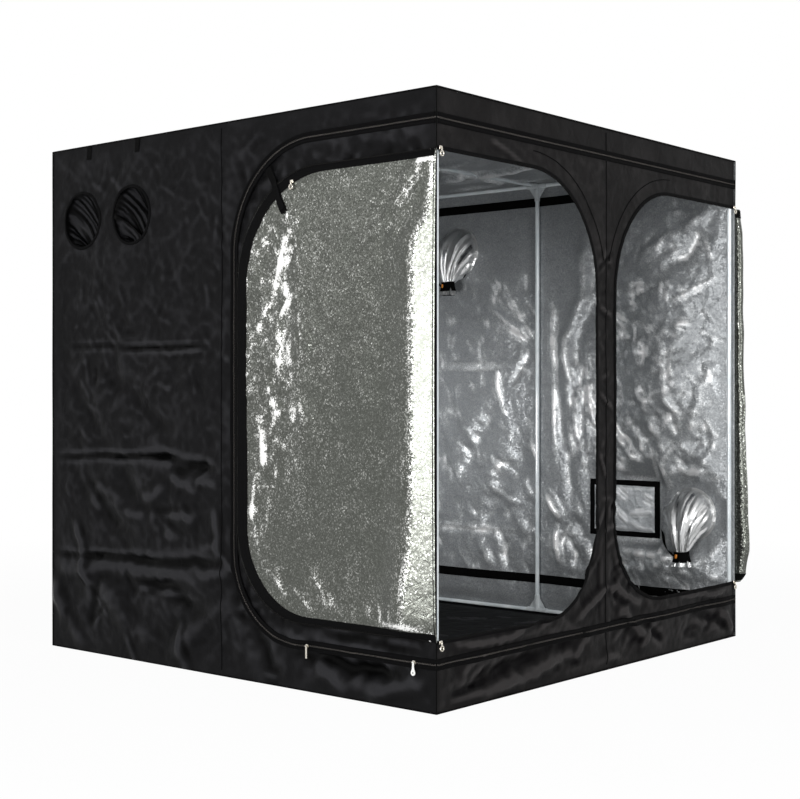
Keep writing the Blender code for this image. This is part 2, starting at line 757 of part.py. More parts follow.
def strap_line():
    """The tie strap's two ends as (across, height), from its tail beside the panel zip down onto the flap."""
    lean = math.radians(STRAP_LEAN_DEGREES)
    along = Vector((math.cos(lean), math.sin(lean)))
    centre = Vector((FLAP_WIDTH - DOOR_TOP_RADIUS, DOOR_TOP - DOOR_TOP_RADIUS))
    zip_top = TENT_HEIGHT - ZIP_TOP_DROP
    zip_centre = Vector((ZIP_SIDE_END - ZIP_TOP_RADIUS - HINGE_Y, zip_top - ZIP_TOP_RADIUS))
    clear = ZIP_TOP_RADIUS - ZIP_TAPE / 2 - STRAP_ZIP_CLEARANCE - STRAP_WIDTH / 2
    away = zip_centre - centre
    reach = along.dot(away) + math.sqrt(clear ** 2 - away.length_squared + along.dot(away) ** 2)
    start = centre + along * reach
    return start, start - along * STRAP_LENGTH, reach - DOOR_TOP_RADIUS


def strap_distance(across, height):
    """How far a point of the flap lies from the tie strap's middle line."""
    start, end, _ = strap_line()
    along = (end - start).normalized()
    away = Vector((across, height)) - start
    reach = min(max(away.dot(along), 0), STRAP_LENGTH)
    return (away - along * reach).length


def flap_relief(across, height):
    """How far the folded flap bulges: a roll at the hinge, a fan of folds and an upright crease."""
    level = (height - DOOR_BOTTOM) / (DOOR_TOP - DOOR_BOTTOM)
    roll = ROLL_DEPTH * bell((across - ROLL_REACH) / ROLL_SPREAD) * (1 - ROLL_LOSS_SHARE * level)
    swing = math.atan2(DOOR_TOP - height, max(across, 0))
    fan = (1 + math.cos(FOLDS_PER_TURN * swing + FOLD_START)) / 2
    far = math.hypot(across, DOOR_TOP - height) / FLAP_WIDTH
    fan *= FOLD_DEPTH * blend(far, *FAN_RISE_SHARES) * (1 - blend(far, *FAN_FALL_SHARES))
    crease = CREASE_DEPTH * bell((across / FLAP_WIDTH - CREASE_PLACE_SHARE) / CREASE_SPREAD_SHARE)
    wave = 1 - math.cos(CREASE_WAVES * level)
    crease *= blend(level, *CREASE_RISE_SHARES) * (1 - CREASE_WAVE_SHARE * wave)
    calm = blend(edge_distance(across, height), FLAP_MARGIN, FLAP_MARGIN + FLAP_RISE_REACH)
    pressed = blend(strap_distance(across, height), STRAP_PRESS, STRAP_PRESS + FLAP_RISE_REACH)
    hinge_side = blend(across, HINGE_OFFSET, ROLL_REACH)
    rise = blend(min(height - DOOR_BOTTOM, DOOR_TOP - height), 0, FLAP_MARGIN + FLAP_RISE_REACH)
    return (roll * rise + (fan + crease) * calm * pressed) * hinge_side


def build_flap(side):
    """A D of lined cloth, folded back on the side wall. The object's origin is on the hinge axis."""
    sign = SIDES[side]
    bm = bmesh.new()
    rows = []
    for width, height in flap_rows():
        row = []
        for column in range(FLAP_COLUMNS + 1):
            share = (column / FLAP_COLUMNS) ** COLUMN_CROWDING
            across = HINGE_OFFSET + (width - HINGE_OFFSET) * share
            out = HINGE_OFFSET + flap_relief(across, height)
            row.append(bm.verts.new((sign * out, across, height)))
        rows.append(row)
    for row, above in zip(rows, rows[1:]):
        for column in range(FLAP_COLUMNS):
            bm.faces.new((row[column], row[column + 1], above[column + 1], above[column]))
    made = mesh_object(f"door_flap_{side}", bm, silver_lining())
    wall = made.modifiers.new("cloth", "SOLIDIFY")
    wall.thickness = CLOTH
    wall.offset = 0
    made.location = (sign * HINGE_X, HINGE_Y, 0)
    return smooth(made, 70.0)


def build_strap(side):
    """A tie strap from the wall, over the flap's edge and down onto its silver face."""
    sign = SIDES[side]
    start, end, tail = strap_line()
    along = (end - start).normalized()
    aside = Vector((-along.y, along.x)) * STRAP_WIDTH / 2
    on_flap = HINGE_OFFSET + CLOTH / 2 + GAP
    on_wall = on_flap - GAP - CLOTH / 2 - FLAP_STANDOFF + GAP
    stations = [(0, on_wall), (STRAP_RAMP, on_wall), (tail - STRAP_RAMP, on_flap), (tail, on_flap),
                (STRAP_LENGTH, on_flap)]
    bm = bmesh.new()
    rings = []
    for reach, out in stations:
        middle = start + along * reach
        ring = []
        for edge, rise in ((aside, 0), (-aside, 0), (-aside, STRAP_THICKNESS), (aside, STRAP_THICKNESS)):
            ring.append(bm.verts.new((sign * (out + rise), middle.x + edge.x, middle.y + edge.y)))
        rings.append(ring)
    for ring, following in zip(rings, rings[1:]):
        for corner in range(4):
            after = (corner + 1) % 4
            bm.faces.new((ring[corner], ring[after], following[after], following[corner]))
    bm.faces.new(rings[0])
    bm.faces.new(rings[-1][::-1])
    made = mesh_object(f"tie_strap_{side}", bm, webbing())
    made.location = (sign * HINGE_X, HINGE_Y, 0)
    return made


# The panel zip and its sliders


def zip_loop():
    """The zip's closed path, unrolled flat: distance round the walls from the front middle, and height."""
    reach = HALF_WIDTH + HALF_DEPTH + ZIP_SIDE_END
    top = TENT_HEIGHT - ZIP_TOP_DROP
    low, high = ZIP_BOTTOM_RADIUS, ZIP_TOP_RADIUS
    path = [(-HALF_WIDTH, ZIP_BOTTOM_RISE), (HALF_WIDTH, ZIP_BOTTOM_RISE)]
    path += arc((reach - low, ZIP_BOTTOM_RISE + low), low, 270, 360, ARC_STEPS)
    path += arc((reach - high, top - high), high, 0, 90, ARC_STEPS)
    path += [(HALF_WIDTH, top), (-HALF_WIDTH, top)]
    path += arc((high - reach, top - high), high, 90, 180, ARC_STEPS)
    path += arc((low - reach, ZIP_BOTTOM_RISE + low), low, 180, 270, ARC_STEPS)
    return [Vector(point) for point in path]


def wrap(point, out):
    """Folds a point of the unrolled path round the tent's front corners, at a distance off the cloth."""
    along, height = point
    past = abs(along) - HALF_WIDTH
    if past < -GAP:
        return Vector((along, -HALF_DEPTH - out, height))
    sign = math.copysign(1, along)
    if past < GAP:
        return Vector((sign * (HALF_WIDTH + out), -HALF_DEPTH - out, height))
    return Vector((sign * (HALF_WIDTH + out), -HALF_DEPTH + past, height))


def build_panel_zip():
    path = zip_loop()
    count = len(path)
    bm = bmesh.new()
    rings = []
    for number, point in enumerate(path):
        before = (point - path[number - 1]).normalized()
        after = (path[(number + 1) % count] - point).normalized()
        run = (before + after).normalized()
        aside = Vector((-run.y, run.x)) * ZIP_TAPE / 2
        ring = []
        face = GAP + ZIP_THICKNESS
        for edge, out in ((aside, GAP), (-aside, GAP), (-aside, face), (aside, face)):
            ring.append(bm.verts.new(wrap(point + edge, out)))
        rings.append(ring)
    for number, ring in enumerate(rings):
        following = rings[(number + 1) % count]
        for corner in range(4):
            after = (corner + 1) % 4
            bm.faces.new((ring[corner], ring[after], following[after], following[corner]))
    return mesh_object("front_panel_zip", bm, zip_tape())


def build_slider(name, y):
    """A slider body with a pointed nose at each end and a bridge along the zip."""
    half = SLIDER_LENGTH / 2
    tall = SLIDER_HEIGHT / 2
    nose = SLIDER_NOSE
    plan = [(-half, -tall + nose), (-half + nose, -tall), (half - nose, -tall), (half, -tall + nose),
            (half, tall - nose), (half - nose, tall), (-half + nose, tall), (-half, tall - nose)]
    body = sheet("slider_body", [plan], SLIDER_THICKNESS, zip_metal())
    body.matrix_world = (Matrix.Translation((-SLIDER_BASE - SLIDER_THICKNESS / 2, 0, 0))
                         @ SIDE_WALL_TURN.to_matrix().to_4x4())
    inside = TAB_WIDTH / 2 + TAB_SIDE_GAP
    outside = inside + BRIDGE_LEG
    bar_low = BAR_OUT - BRIDGE_BAR / 2
    bar_high = BAR_OUT + BRIDGE_BAR / 2
    root = SLIDER_FACE - SLIDER_THICKNESS / 2
    arch = [(-outside, root), (-inside, root), (-inside, bar_low), (inside, bar_low), (inside, root),
            (outside, root), (outside, bar_high), (-outside, bar_high)]
    bridge = sheet("slider_bridge", [arch], BRIDGE_BAR, zip_metal())
    bridge.matrix_world = Matrix(((0, -1, 0, 0), (1, 0, 0, 0), (0, 0, 1, 0), (0, 0, 0, 1)))
    bpy.context.view_layer.update()
    body = solid_copy(body)
    combine(body, solid_copy(bridge), "UNION")
    data = body.data
    data.transform(body.matrix_world)
    bpy.data.objects.remove(body)
    made = link(name, data, zip_metal())
    made.location = (-HALF_WIDTH, y, ZIP_BOTTOM_RISE)
    return made


def build_pull(name, y):
    """A pull tab rolled into a ring round the slider's bridge. Its origin is the middle of the bridge bar."""
    hole = BRIDGE_BAR * math.sqrt(2) / 2 + TAB_LOOSENESS
    ring = hole + TAB_RING_WALL
    half = TAB_THICKNESS / 2
    root = math.degrees(math.asin(half / ring))
    outline = arc((0, 0), ring, root - 90, 270 - root, ARC_STEPS * 2)
    outline += [(-half, -TAB_LENGTH), (half, -TAB_LENGTH)]
    made = sheet(name, [outline, circle((0, 0), hole, ARC_STEPS + 3)], TAB_WIDTH, zip_metal())
    made.rotation_euler = END_WALL_TURN
    made.location = (-HALF_WIDTH - BAR_OUT, y, ZIP_BOTTOM_RISE)
    return made


def build_zip():
    build_panel_zip()
    rear_place = ZIP_SIDE_END - ZIP_BOTTOM_RADIUS - REAR_SLIDER_FROM_BEND
    places = {"rear": rear_place, "front": -HALF_DEPTH + FRONT_SLIDER_FROM_CORNER}
    for place, y in places.items():
        build_slider(f"zip_slider_{place}", y)
        build_pull(f"pull_tab_{place}", y)


def main():
    for old in list(bpy.data.objects):
        bpy.data.objects.remove(old)
    build_uprights()
    build_rails()
    build_ceiling_poles()
    build_connectors()
    build_walls()
    build_spill_tray()
    build_belts()
    build_socks()
    build_window()
    for side in SIDES:
        build_flap(side)
        build_strap(side)
    build_zip()


main()
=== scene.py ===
import math
import random

import bpy
import numpy as np
from mathutils import Matrix, Vector, noise


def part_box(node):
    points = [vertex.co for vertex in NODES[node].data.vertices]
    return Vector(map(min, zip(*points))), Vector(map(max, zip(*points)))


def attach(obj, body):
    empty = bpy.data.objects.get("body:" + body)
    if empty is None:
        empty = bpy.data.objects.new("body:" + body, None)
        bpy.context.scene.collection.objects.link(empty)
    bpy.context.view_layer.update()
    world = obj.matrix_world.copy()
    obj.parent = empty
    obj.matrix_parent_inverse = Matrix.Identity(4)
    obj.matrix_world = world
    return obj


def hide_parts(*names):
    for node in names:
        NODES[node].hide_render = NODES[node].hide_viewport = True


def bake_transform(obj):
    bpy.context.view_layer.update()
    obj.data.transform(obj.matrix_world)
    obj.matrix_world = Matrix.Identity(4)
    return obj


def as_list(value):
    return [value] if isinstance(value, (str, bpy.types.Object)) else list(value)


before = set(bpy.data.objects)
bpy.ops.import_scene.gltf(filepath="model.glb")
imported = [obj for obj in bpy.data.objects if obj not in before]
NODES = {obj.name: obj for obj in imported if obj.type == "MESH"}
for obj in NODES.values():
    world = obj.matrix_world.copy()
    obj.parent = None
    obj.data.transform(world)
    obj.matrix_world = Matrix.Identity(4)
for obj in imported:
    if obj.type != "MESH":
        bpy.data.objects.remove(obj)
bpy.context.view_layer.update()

# An indoor grow tent: lined black cloth walls on a pole frame, with both door flaps folded back round the front
# corners. Metres, +Z up, the front wall faces -Y and the wall with the two high ports faces -X.

HALF = 1.0
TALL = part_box("roof")[1].z
# The cloth is modelled from just under the solids' outer face, and its lining looks into the tent
CLOTH = 0.0012
SKIN = 0.001
LINING_FACE = HALF - SKIN - CLOTH
SIDES = (("left", -1), ("right", 1))

# How far apart the points of a sheet or a path are
CREASED_PITCH = 0.010
PLAIN_PITCH = 0.014
FLOOR_PITCH = 0.020
FLAP_PITCH = 0.0062
COVER_PITCH = 0.005
PATH_PITCH = 0.010

# Door openings and flaps
DOOR_LOW = 0.230
DOOR_HIGH = 1.800
DOOR_SIDE = 0.065
DOOR_TOP_RADIUS = 0.400
DOOR_LOW_RADIUS = 0.320
OPENING_WIDTH = HALF - DOOR_SIDE
HINGE = Vector((0.998, -1.010))
FLAP_WIDTH = 0.932
FLAP_CLOTH = FLAP_WIDTH - 0.010
FILM_WIDTH = 0.893
FILM_INSET = 0.024

# Panel zip
ZIP_TOP = 1.900
ZIP_LOW = 0.156
ZIP_END = -0.064
ZIP_TOP_RADIUS = 0.376
ZIP_LOW_RADIUS = 0.300

# Ports as (u, height), and the window as its middle and half its sides
PORT_RADIUS = 0.1065
LEFT_PORTS = ((0.808, 1.707), (0.506, 1.707))
RIGHT_PORTS = ((0.474, 1.709), (-0.795, 0.500))
WINDOW = (-0.4625, 0.512, 0.155, 0.100)
COVER_EDGE = 0.012

TRAY_HALF = 0.9705


# Materials

MATH, VECTOR, NOISE = "ShaderNodeMath", "ShaderNodeVectorMath", "ShaderNodeTexNoise"
RAMP, BUMP, ATTRIBUTE = "ShaderNodeValToRGB", "ShaderNodeBump", "ShaderNodeAttribute"


def srgb(text):
    """A hex colour as the linear values that a shader reads."""
    values = [int(text[i:i + 2], 16) / 255 for i in (1, 3, 5)]
    linear = [v / 12.92 if v <= 0.04045 else ((v + 0.055) / 1.055) ** 2.4 for v in values]
    return (*linear, 1.0)


def node(tree, kind, links=(), stops=(), **settings):
    """Adds a node and sets its properties and inputs. A pair of links names an input and what it gets: a node's
    first output, an output or a number. Stops are a colour ramp's (position, hex colour) pairs."""
    made = tree.nodes.new(kind)
    for name, value in settings.items():
        if name in made.bl_rna.properties:
            setattr(made, name, value)
        else:
            made.inputs[name.replace("_", " ")].default_value = value
    for name, source in links:
        source = source.outputs[0] if isinstance(source, bpy.types.Node) else source
        if isinstance(source, bpy.types.NodeSocket):
            tree.links.new(source, made.inputs[name])
        else:
            made.inputs[name].default_value = source
    if stops:
        elements = made.color_ramp.elements
        for _ in stops[2:]:
            elements.new(0.5)
        for element, (position, colour) in zip(elements, stops):
            element.position = position
            element.color = srgb(colour)
    return made


def start(name, roughness, metallic=0.0, **values):
    """A new material, its node tree and the place of a point on the piece, in metres."""
    made = bpy.data.materials.new(name)
    made.use_nodes = True
    tree = made.node_tree
    for key, value in {"Roughness": roughness, "Metallic": metallic, **values}.items():
        tree.nodes["Principled BSDF"].inputs[key.replace("_", " ")].default_value = value
    return made, tree, node(tree, "ShaderNodeTexCoord").outputs["Object"]


def dress(made, colour, normal):
    """Links a material's colour and its normal to its shader."""
    for source, name in ((colour, "Base Color"), (normal, "Normal")):
        made.node_tree.links.new(source.outputs[0], made.node_tree.nodes["Principled BSDF"].inputs[name])
    return made


def weave(tree, place, pitch):
    """Two crossed sets of threads on the three axes, drawn at a pitch in metres."""
    parts = node(tree, "ShaderNodeSeparateXYZ", [("Vector", place)])
    waves = []
    for axis in "XYZ":
        turned = node(tree, MATH, [(0, parts.outputs[axis]), (1, 2 * math.pi / pitch)], operation="MULTIPLY")
        waves.append(node(tree, MATH, [(0, turned)], operation="SINE"))
    crossed = [node(tree, MATH, [(0, wave), (1, waves[2])], operation="MULTIPLY") for wave in waves[:2]]
    return node(tree, MATH, enumerate(crossed), operation="ADD")


def oxford(name, hollow, flat, ridge, rough):
    """Polyester oxford with a PU coat: near black with a soft sheen. Its colour is painted paler on ridges and black in
    hollows, by the attribute "ridge": painted highlight and painted shade of its folds."""
    made, tree, place = start(name, rough, Specular_IOR_Level=0.03)
    cloud = node(tree, NOISE, [("Vector", place)], Scale=6.0, Detail=4.0, Roughness=0.55)
    # Painted shade and highlight: darker in hollows and paler on ridges, by the cloth's shape
    painted_ridge_shade = node(tree, ATTRIBUTE, attribute_name="ridge").outputs["Fac"]
    shade = node(tree, MATH, [(0, cloud), (1, 0.40), (2, painted_ridge_shade)], operation="MULTIPLY_ADD")
    colour = node(tree, RAMP, [("Fac", shade)], [(0.36, hollow), (0.70, flat), (1.00, ridge)])
    # Soft crumples of 40 to 80 mm
    crumples = node(tree, NOISE, [("Vector", place)], Scale=13.0, Detail=2.0, Roughness=0.5, Distortion=0.5)
    soft = node(tree, BUMP, [("Height", crumples)], Strength=0.5, Distance=0.010)
    # The weave's 0.5 mm threads are too fine to show, so they are drawn at 2.2 mm
    threads = weave(tree, place, 0.0022)
    return dress(made, colour, node(tree, BUMP, [("Height", threads), ("Normal", soft)], Strength=0.2,
                                    Distance=0.0002))


def film(name, stops, rough, metallic, glitter, crease, share):
    """Aluminised film with an embossed grain. Each small facet leans its own way by glitter, and share says how much
    its colour varies: its bright flecks are painted glints. The cloth's attribute "creased" says how sharply it is
    bent: the colour is painted brighter there, a painted highlight on the creases. Its attribute "pulled" says where it
    is pulled tight over a fold, which presses the grain nearly flat."""
    made, tree, place = start(name, rough, metallic, Specular_IOR_Level=0.5)
    # The 3 mm embossing, drawn at 5 mm so that its flecks show; their colour is painted glints
    facet = node(tree, "ShaderNodeTexVoronoi", [("Vector", place)], Scale=230.0, Randomness=1.0).outputs["Color"]
    chance = node(tree, "ShaderNodeSeparateColor", [("Color", facet)])
    cloud = node(tree, NOISE, [("Vector", place)], Scale=7.0, Detail=3.0, Roughness=0.6)
    creased, pulled = (node(tree, ATTRIBUTE, attribute_name=kept).outputs["Fac"] for kept in ("creased", "pulled"))
    # Painted glints on random facets, and a painted highlight along the creases
    painted_glint_flecks = node(tree, MATH, [(0, chance), (1, share), (2, creased)], operation="MULTIPLY_ADD")
    tone_and_painted_glints = node(tree, MATH, [(0, cloud), (1, 0.30), (2, painted_glint_flecks)], operation="MULTIPLY_ADD")
    colour = node(tree, RAMP, [("Fac", tone_and_painted_glints)], stops)
    crumples = node(tree, NOISE, [("Vector", place)], Scale=30.0, Detail=3.0, Roughness=0.55, Distortion=1.2)
    bent = node(tree, BUMP, [("Height", crumples)], Strength=0.6, Distance=crease)
    lean = node(tree, VECTOR, [(0, facet), (1, (0.5, 0.5, 0.5))], operation="SUBTRACT")
    loose = node(tree, MATH, [(0, pulled), (1, -0.85 * glitter), (2, glitter)], operation="MULTIPLY_ADD")
    held = node(tree, VECTOR, [("Vector", lean), ("Scale", loose)], operation="SCALE")
    tilted = node(tree, VECTOR, [(0, bent), (1, held)], operation="ADD")
    return dress(made, colour, node(tree, VECTOR, [("Vector", tilted)], operation="NORMALIZE"))


def webbing(name, dark, light):
    """Woven tape: black with a ribbed face. Its 2 mm ribs are too fine to show, so they are drawn 4 mm apart."""
    made, tree, place = start(name, 0.72, Specular_IOR_Level=0.04)
    ribs = node(tree, "ShaderNodeTexWave", [("Vector", place)], Scale=150.0, wave_type="BANDS",
                bands_direction="DIAGONAL", Distortion=0.4).outputs["Fac"]
    return dress(made, node(tree, RAMP, [("Fac", ribs)], [(0.2, dark), (0.8, light)]),
                 node(tree, BUMP, [("Height", ribs)], Strength=0.5, Distance=0.0006))


def rigid(name, roughness, grain, cloud, stops, strength, depth, metallic=0.0, **values):
    """A hard finish. Its relief follows a fine noise and its colour a slower one, each as (scale, detail)."""
    made, tree, place = start(name, roughness, metallic, **values)
    fine, slow = (node(tree, NOISE, [("Vector", place)], Scale=scale, Detail=detail)
                  for scale, detail in (grain, cloud))
    return dress(made, node(tree, RAMP, [("Fac", slow)], stops),
                 node(tree, BUMP, [("Height", fine)], Strength=strength, Distance=depth))


# The oxford cloths' hollow and ridge colours are painted shade and painted highlight of their folds
OUTER = oxford("black coated oxford cloth", "#060606", "#151516", "#2c2c2e", 0.38)
# The front's cloth is a little warmer than the sides', and painted paler: painted light on the front
LIT_FRONT_OXFORD = oxford("black coated oxford cloth of the front", "#060506", "#1b1a1a", "#363434", 0.42)
TRAY = oxford("black polythene tray cloth", "#060607", "#121213", "#1c1c1d", 0.5)
FILM = film("embossed aluminised film", [(0.40, "#52544f"), (0.66, "#6a6c67"), (0.84, "#b9bab6"), (0.98, "#f7f7f5")],
            0.27, 0.90, 0.25, 0.002, 0.58)
# The lining is softer than the flaps' film, and its colour is painted paler: painted light inside the tent
LIT_PALER_LINING = film("aluminised lining, painted paler as lit", [(0.05, "#808386"), (0.45, "#a0a3a5"), (0.80, "#dfe1e2"), (0.98, "#f8f8f8")],
              0.36, 0.40, 0.22, 0.003, 0.30)
# Painted shade: the socks' film is painted darker, as if it hung in shade
SHADED_SOCK_FILM = film("thin aluminised film of the socks, painted darker as shaded", [(0.05, "#34363a"), (0.35, "#5e6063"), (0.75, "#cfd0d0")],
                 0.30, 0.80, 0.08, 0.003, 0.15)
COVER_FILM = film("thin aluminised film of the cover", [(0.05, "#9a9ea2"), (0.40, "#c6cacd"), (0.85, "#eceef0")],
                  0.40, 0.25, 0.15, 0.006, 0.15)
HEM = webbing("black binding tape", "#030303", "#0b0b0c")
BELT = webbing("black polypropylene webbing", "#020202", "#090909")
COIL = webbing("charcoal nylon zip coil", "#2e2c2b", "#625e5a")
DARK_COIL = webbing("black nylon zip coil", "#0e0e0e", "#262524")
MESH = webbing("black insect mesh", "#0b0b0c", "#161617")
# Steel tube under powder enamel: smooth and glossy, with the slightest orange peel of 2 mm and a film of dust
POLE = rigid("white powder enamel on steel tube", 0.22, (420.0, 2.0), (9.0, 4.0), [(0.3, "#c9d2d6"), (0.7, "#e9eef0")],
             0.12, 0.0004, Coat_Weight=0.4, Coat_Roughness=0.12)
# Injection-moulded nylon: pale grey and matt, with a spark-eroded grain of 1 mm
MOULDING = rigid("pale grey moulded nylon", 0.42, (900.0, 2.0), (30.0, 3.0), [(0.3, "#b4babd"), (0.7, "#cdd2d4")],
                 0.2, 0.0003, Specular_IOR_Level=0.45)
# Die-cast zinc with a nickel plate: warm white metal, dulled by wear in 3 mm patches
METAL = rigid("nickel plated zinc", 0.24, (300.0, 4.0), (300.0, 4.0), [(0.3, "#a8a194"), (0.65, "#ece7dc")],
              0.2, 0.0003, 1.0)
# Baked paint on a die-cast pull: white, thin and a little chalky
PULL_PAINT = rigid("white baked paint on zinc", 0.35, (260.0, 3.0), (260.0, 3.0), [(0.3, "#dcdcd8"), (0.65, "#f6f6f3")],
                   0.15, 0.0002, Specular_IOR_Level=0.5)
# Gloss acetal of a cord lock: a warm orange that hardly varies
TOGGLE = rigid("orange acetal toggle", 0.3, (200.0, 3.0), (200.0, 3.0), [(0.3, "#c8741a"), (0.7, "#e8952c")],
               0.1, 0.0002, Specular_IOR_Level=0.5)


# Objects: selecting, finishing and making them


def pick(piece):
    """Selects one piece alone and makes it the active one."""
    bpy.ops.object.select_all(action="DESELECT")
    piece.select_set(True)
    bpy.context.view_layer.objects.active = piece


def paint(piece, *finishes):
    """Gives a piece its finishes in place of any that it has."""
    piece.data.materials.clear()
    for finish in finishes:
        piece.data.materials.append(finish)


def smooth(angle):
    """Shades what is selected smooth across edges up to an angle in degrees."""
    bpy.ops.object.shade_smooth_by_angle(angle=math.radians(angle))


def apply_place():
    bpy.ops.object.transform_apply(location=True, rotation=True, scale=True)


def settle(piece, body, slot_name, *nodes):
    """Puts a piece on its body and hides the solids that it stands for. Its slot name is not used."""
    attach(piece, body)
    if nodes:
        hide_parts(*nodes)
    return piece


def added(name, data):
    """A new object for a mesh, a curve, a lamp or a camera."""
    made = bpy.data.objects.new(name, data)
    bpy.context.scene.collection.objects.link(made)
    return made


def from_points(name, vertices, faces, *finishes):
    data = bpy.data.meshes.new(name)
    data.from_pydata(vertices, [], faces)
    made = added(name, data)
    paint(made, *finishes)
    return made


def face_out(made):
    """Turns every face of a closed shape outwards."""
    pick(made)
    bpy.ops.object.mode_set(mode="EDIT")
    bpy.ops.mesh.select_all(action="SELECT")
    bpy.ops.mesh.normals_make_consistent(inside=False)
    bpy.ops.object.mode_set(mode="OBJECT")


def ring_faces(size, rings, closed):
    """Faces between neighbouring rings of size points each. Closed rings meet again at their start."""
    faces = []
    for ring in range(rings if closed else rings - 1):
        following = (ring + 1) % rings
        for corner in range(size):
            after = (corner + 1) % size
            faces.append((ring * size + corner, ring * size + after, following * size + after,
                          following * size + corner))
    return faces


def skin(name, vertices, size, finish, closed=False, angle=40):
    """A closed skin over rings of points that each hold size points."""
    rings = len(vertices) // size
    faces = ring_faces(size, rings, closed)
    if not closed:
        faces += [tuple(range(size)), tuple(range((rings - 1) * size, rings * size))[::-1]]
    made = from_points(name, vertices, faces, finish)
    face_out(made)
    smooth(angle)
    return made


# The corners of a block in the order that BLOCK_FACES takes them: round its foot, then round its top
BLOCK_FACES = ((0, 3, 2, 1), (4, 5, 6, 7), (0, 1, 5, 4), (1, 2, 6, 5), (2, 3, 7, 6), (3, 0, 4, 7))


def blocks(name, corners, finish):
    """Many small blocks as one piece, from eight corners for each."""
    faces = [tuple(first + i for i in side) for first in range(0, len(corners), 8) for side in BLOCK_FACES]
    made = from_points(name, corners, faces, finish)
    face_out(made)
    return made


def grid(name, low, high, pitch):
    """A flat grid from corner to corner on its own plane, as Add Mesh would give it."""
    width, height = high[0] - low[0], high[1] - low[1]
    bpy.ops.object.select_all(action="DESELECT")
    bpy.ops.mesh.primitive_grid_add(x_subdivisions=round(width / pitch), y_subdivisions=round(height / pitch), size=1,
                                    location=((low[0] + high[0]) / 2, (low[1] + high[1]) / 2, 0))
    made = bpy.context.object
    made.name = name
    made.scale = (width, height, 1)
    apply_place()
    return made


def cut_out(piece, distance, pitch):
    """Deletes the faces inside an outline and draws the new border on to it. Distance is negative inside."""
    pick(piece)
    bpy.ops.object.mode_set(mode="EDIT")
    bpy.ops.mesh.select_mode(type="FACE")
    bpy.ops.mesh.select_all(action="DESELECT")
    bpy.ops.object.mode_set(mode="OBJECT")
    for face in piece.data.polygons:
        face.select = distance(face.center.x, face.center.y) < 0
    bpy.ops.object.mode_set(mode="EDIT")
    bpy.ops.mesh.delete(type="FACE")
    bpy.ops.object.mode_set(mode="OBJECT")
    # A point on the border has one edge more than it has faces
    edges, faces = (np.bincount([index for item in items for index in item.vertices],
                                minlength=len(piece.data.vertices))
                    for items in (piece.data.edges, piece.data.polygons))
    small = pitch * 0.1
    for vertex in piece.data.vertices:
        if edges[vertex.index] == faces[vertex.index]:
            continue
        u, v = vertex.co.x, vertex.co.y
        away = distance(u, v)
        if abs(away) < pitch * 1.2:
            slope_u = (distance(u + small, v) - distance(u - small, v)) / (2 * small)
            slope_v = (distance(u, v + small) - distance(u, v - small)) / (2 * small)
            vertex.co.x -= away * slope_u
            vertex.co.y -= away * slope_v
    bpy.ops.object.mode_set(mode="EDIT")
    bpy.ops.mesh.select_all(action="SELECT")
    bpy.ops.mesh.remove_doubles(threshold=pitch * 0.02)
    bpy.ops.object.mode_set(mode="OBJECT")


def keep_value(piece, name, values):
    piece.data.attributes.new(name, "FLOAT", "POINT").data.foreach_set("value", values)


def mark_creases(piece):
    """Keeps two values of a cloth's shape at each point: "creased", from 0 where it is smooth to 1 in a hard crease,
    and "ridge", from 0 in a sharp hollow to 1 on a sharp ridge, with 0.5 where it is flat."""
    points = piece.data.vertices
    hardest = [0.0] * len(points)
    outward = [0.0] * len(points)
    counts = [0] * len(points)
    for edge in piece.data.edges:
        first, second = (points[number] for number in edge.vertices)
        run = second.co - first.co
        turn = second.normal - first.normal
        for number in edge.vertices:
            hardest[number] = max(hardest[number], turn.length / run.length)
            outward[number] += turn.dot(run) / run.length_squared
            counts[number] += 1
    creased = [rise(bend, 4.0, 60.0) for bend in hardest]
    ridges = [min(max(0.5 + bend / max(count, 1) / 36, 0.0), 1.0) for bend, count in zip(outward, counts)]
    keep_value(piece, "creased", creased)
    keep_value(piece, "ridge", ridges)


def thicken(piece, thickness, angle):
    """Gives a sheet its thickness behind the face that it was modelled on, with its last finish on the back."""
    wall = piece.modifiers.new("cloth", "SOLIDIFY")
    wall.thickness = thickness
    wall.offset = -1
    wall.material_offset = len(piece.data.materials) - 1
    pick(piece)
    bpy.ops.object.modifier_apply(modifier="cloth")
    smooth(angle)


def lay(piece, place, relief, finishes, thickness=CLOTH):
    """Takes a flat sheet to its wall and gives it its folds and its thickness. The first finish is outside."""
    for vertex in piece.data.vertices:
        u, v = vertex.co.x, vertex.co.y
        vertex.co = place(u, v, relief(u, v) - SKIN)
    if piece.data.polygons[0].normal.dot(place(0, 0, 1) - place(0, 0, 0)) < 0:
        piece.data.flip_normals()
    mark_creases(piece)
    paint(piece, *finishes)
    thicken(piece, thickness, 60)


# Walls as flat sheets of cloth, each with its own (u, v) and a way to its place


def on_left(u, v, out):
    return Vector((-HALF - out, u, v))


def on_right(u, v, out):
    return Vector((HALF + out, u, v))


def on_front(u, v, out):
    return Vector((u, -HALF - out, v))


def on_back(u, v, out):
    return Vector((u, HALF + out, v))


def on_roof(u, v, out):
    return Vector((u, v, TALL + out))


def on_floor(u, v, out):
    return Vector((u, v, -out))


def over(place, relief, lift=0.0):
    """A place that rides on a cloth's relief."""
    return lambda u, v, out: place(u, v, relief(u, v) + lift + out)


def rise(value, low, high):
    """Climbs smoothly from 0 at low to 1 at high."""
    share = min(max((value - low) / (high - low), 0.0), 1.0)
    return share * share * (3 - 2 * share)


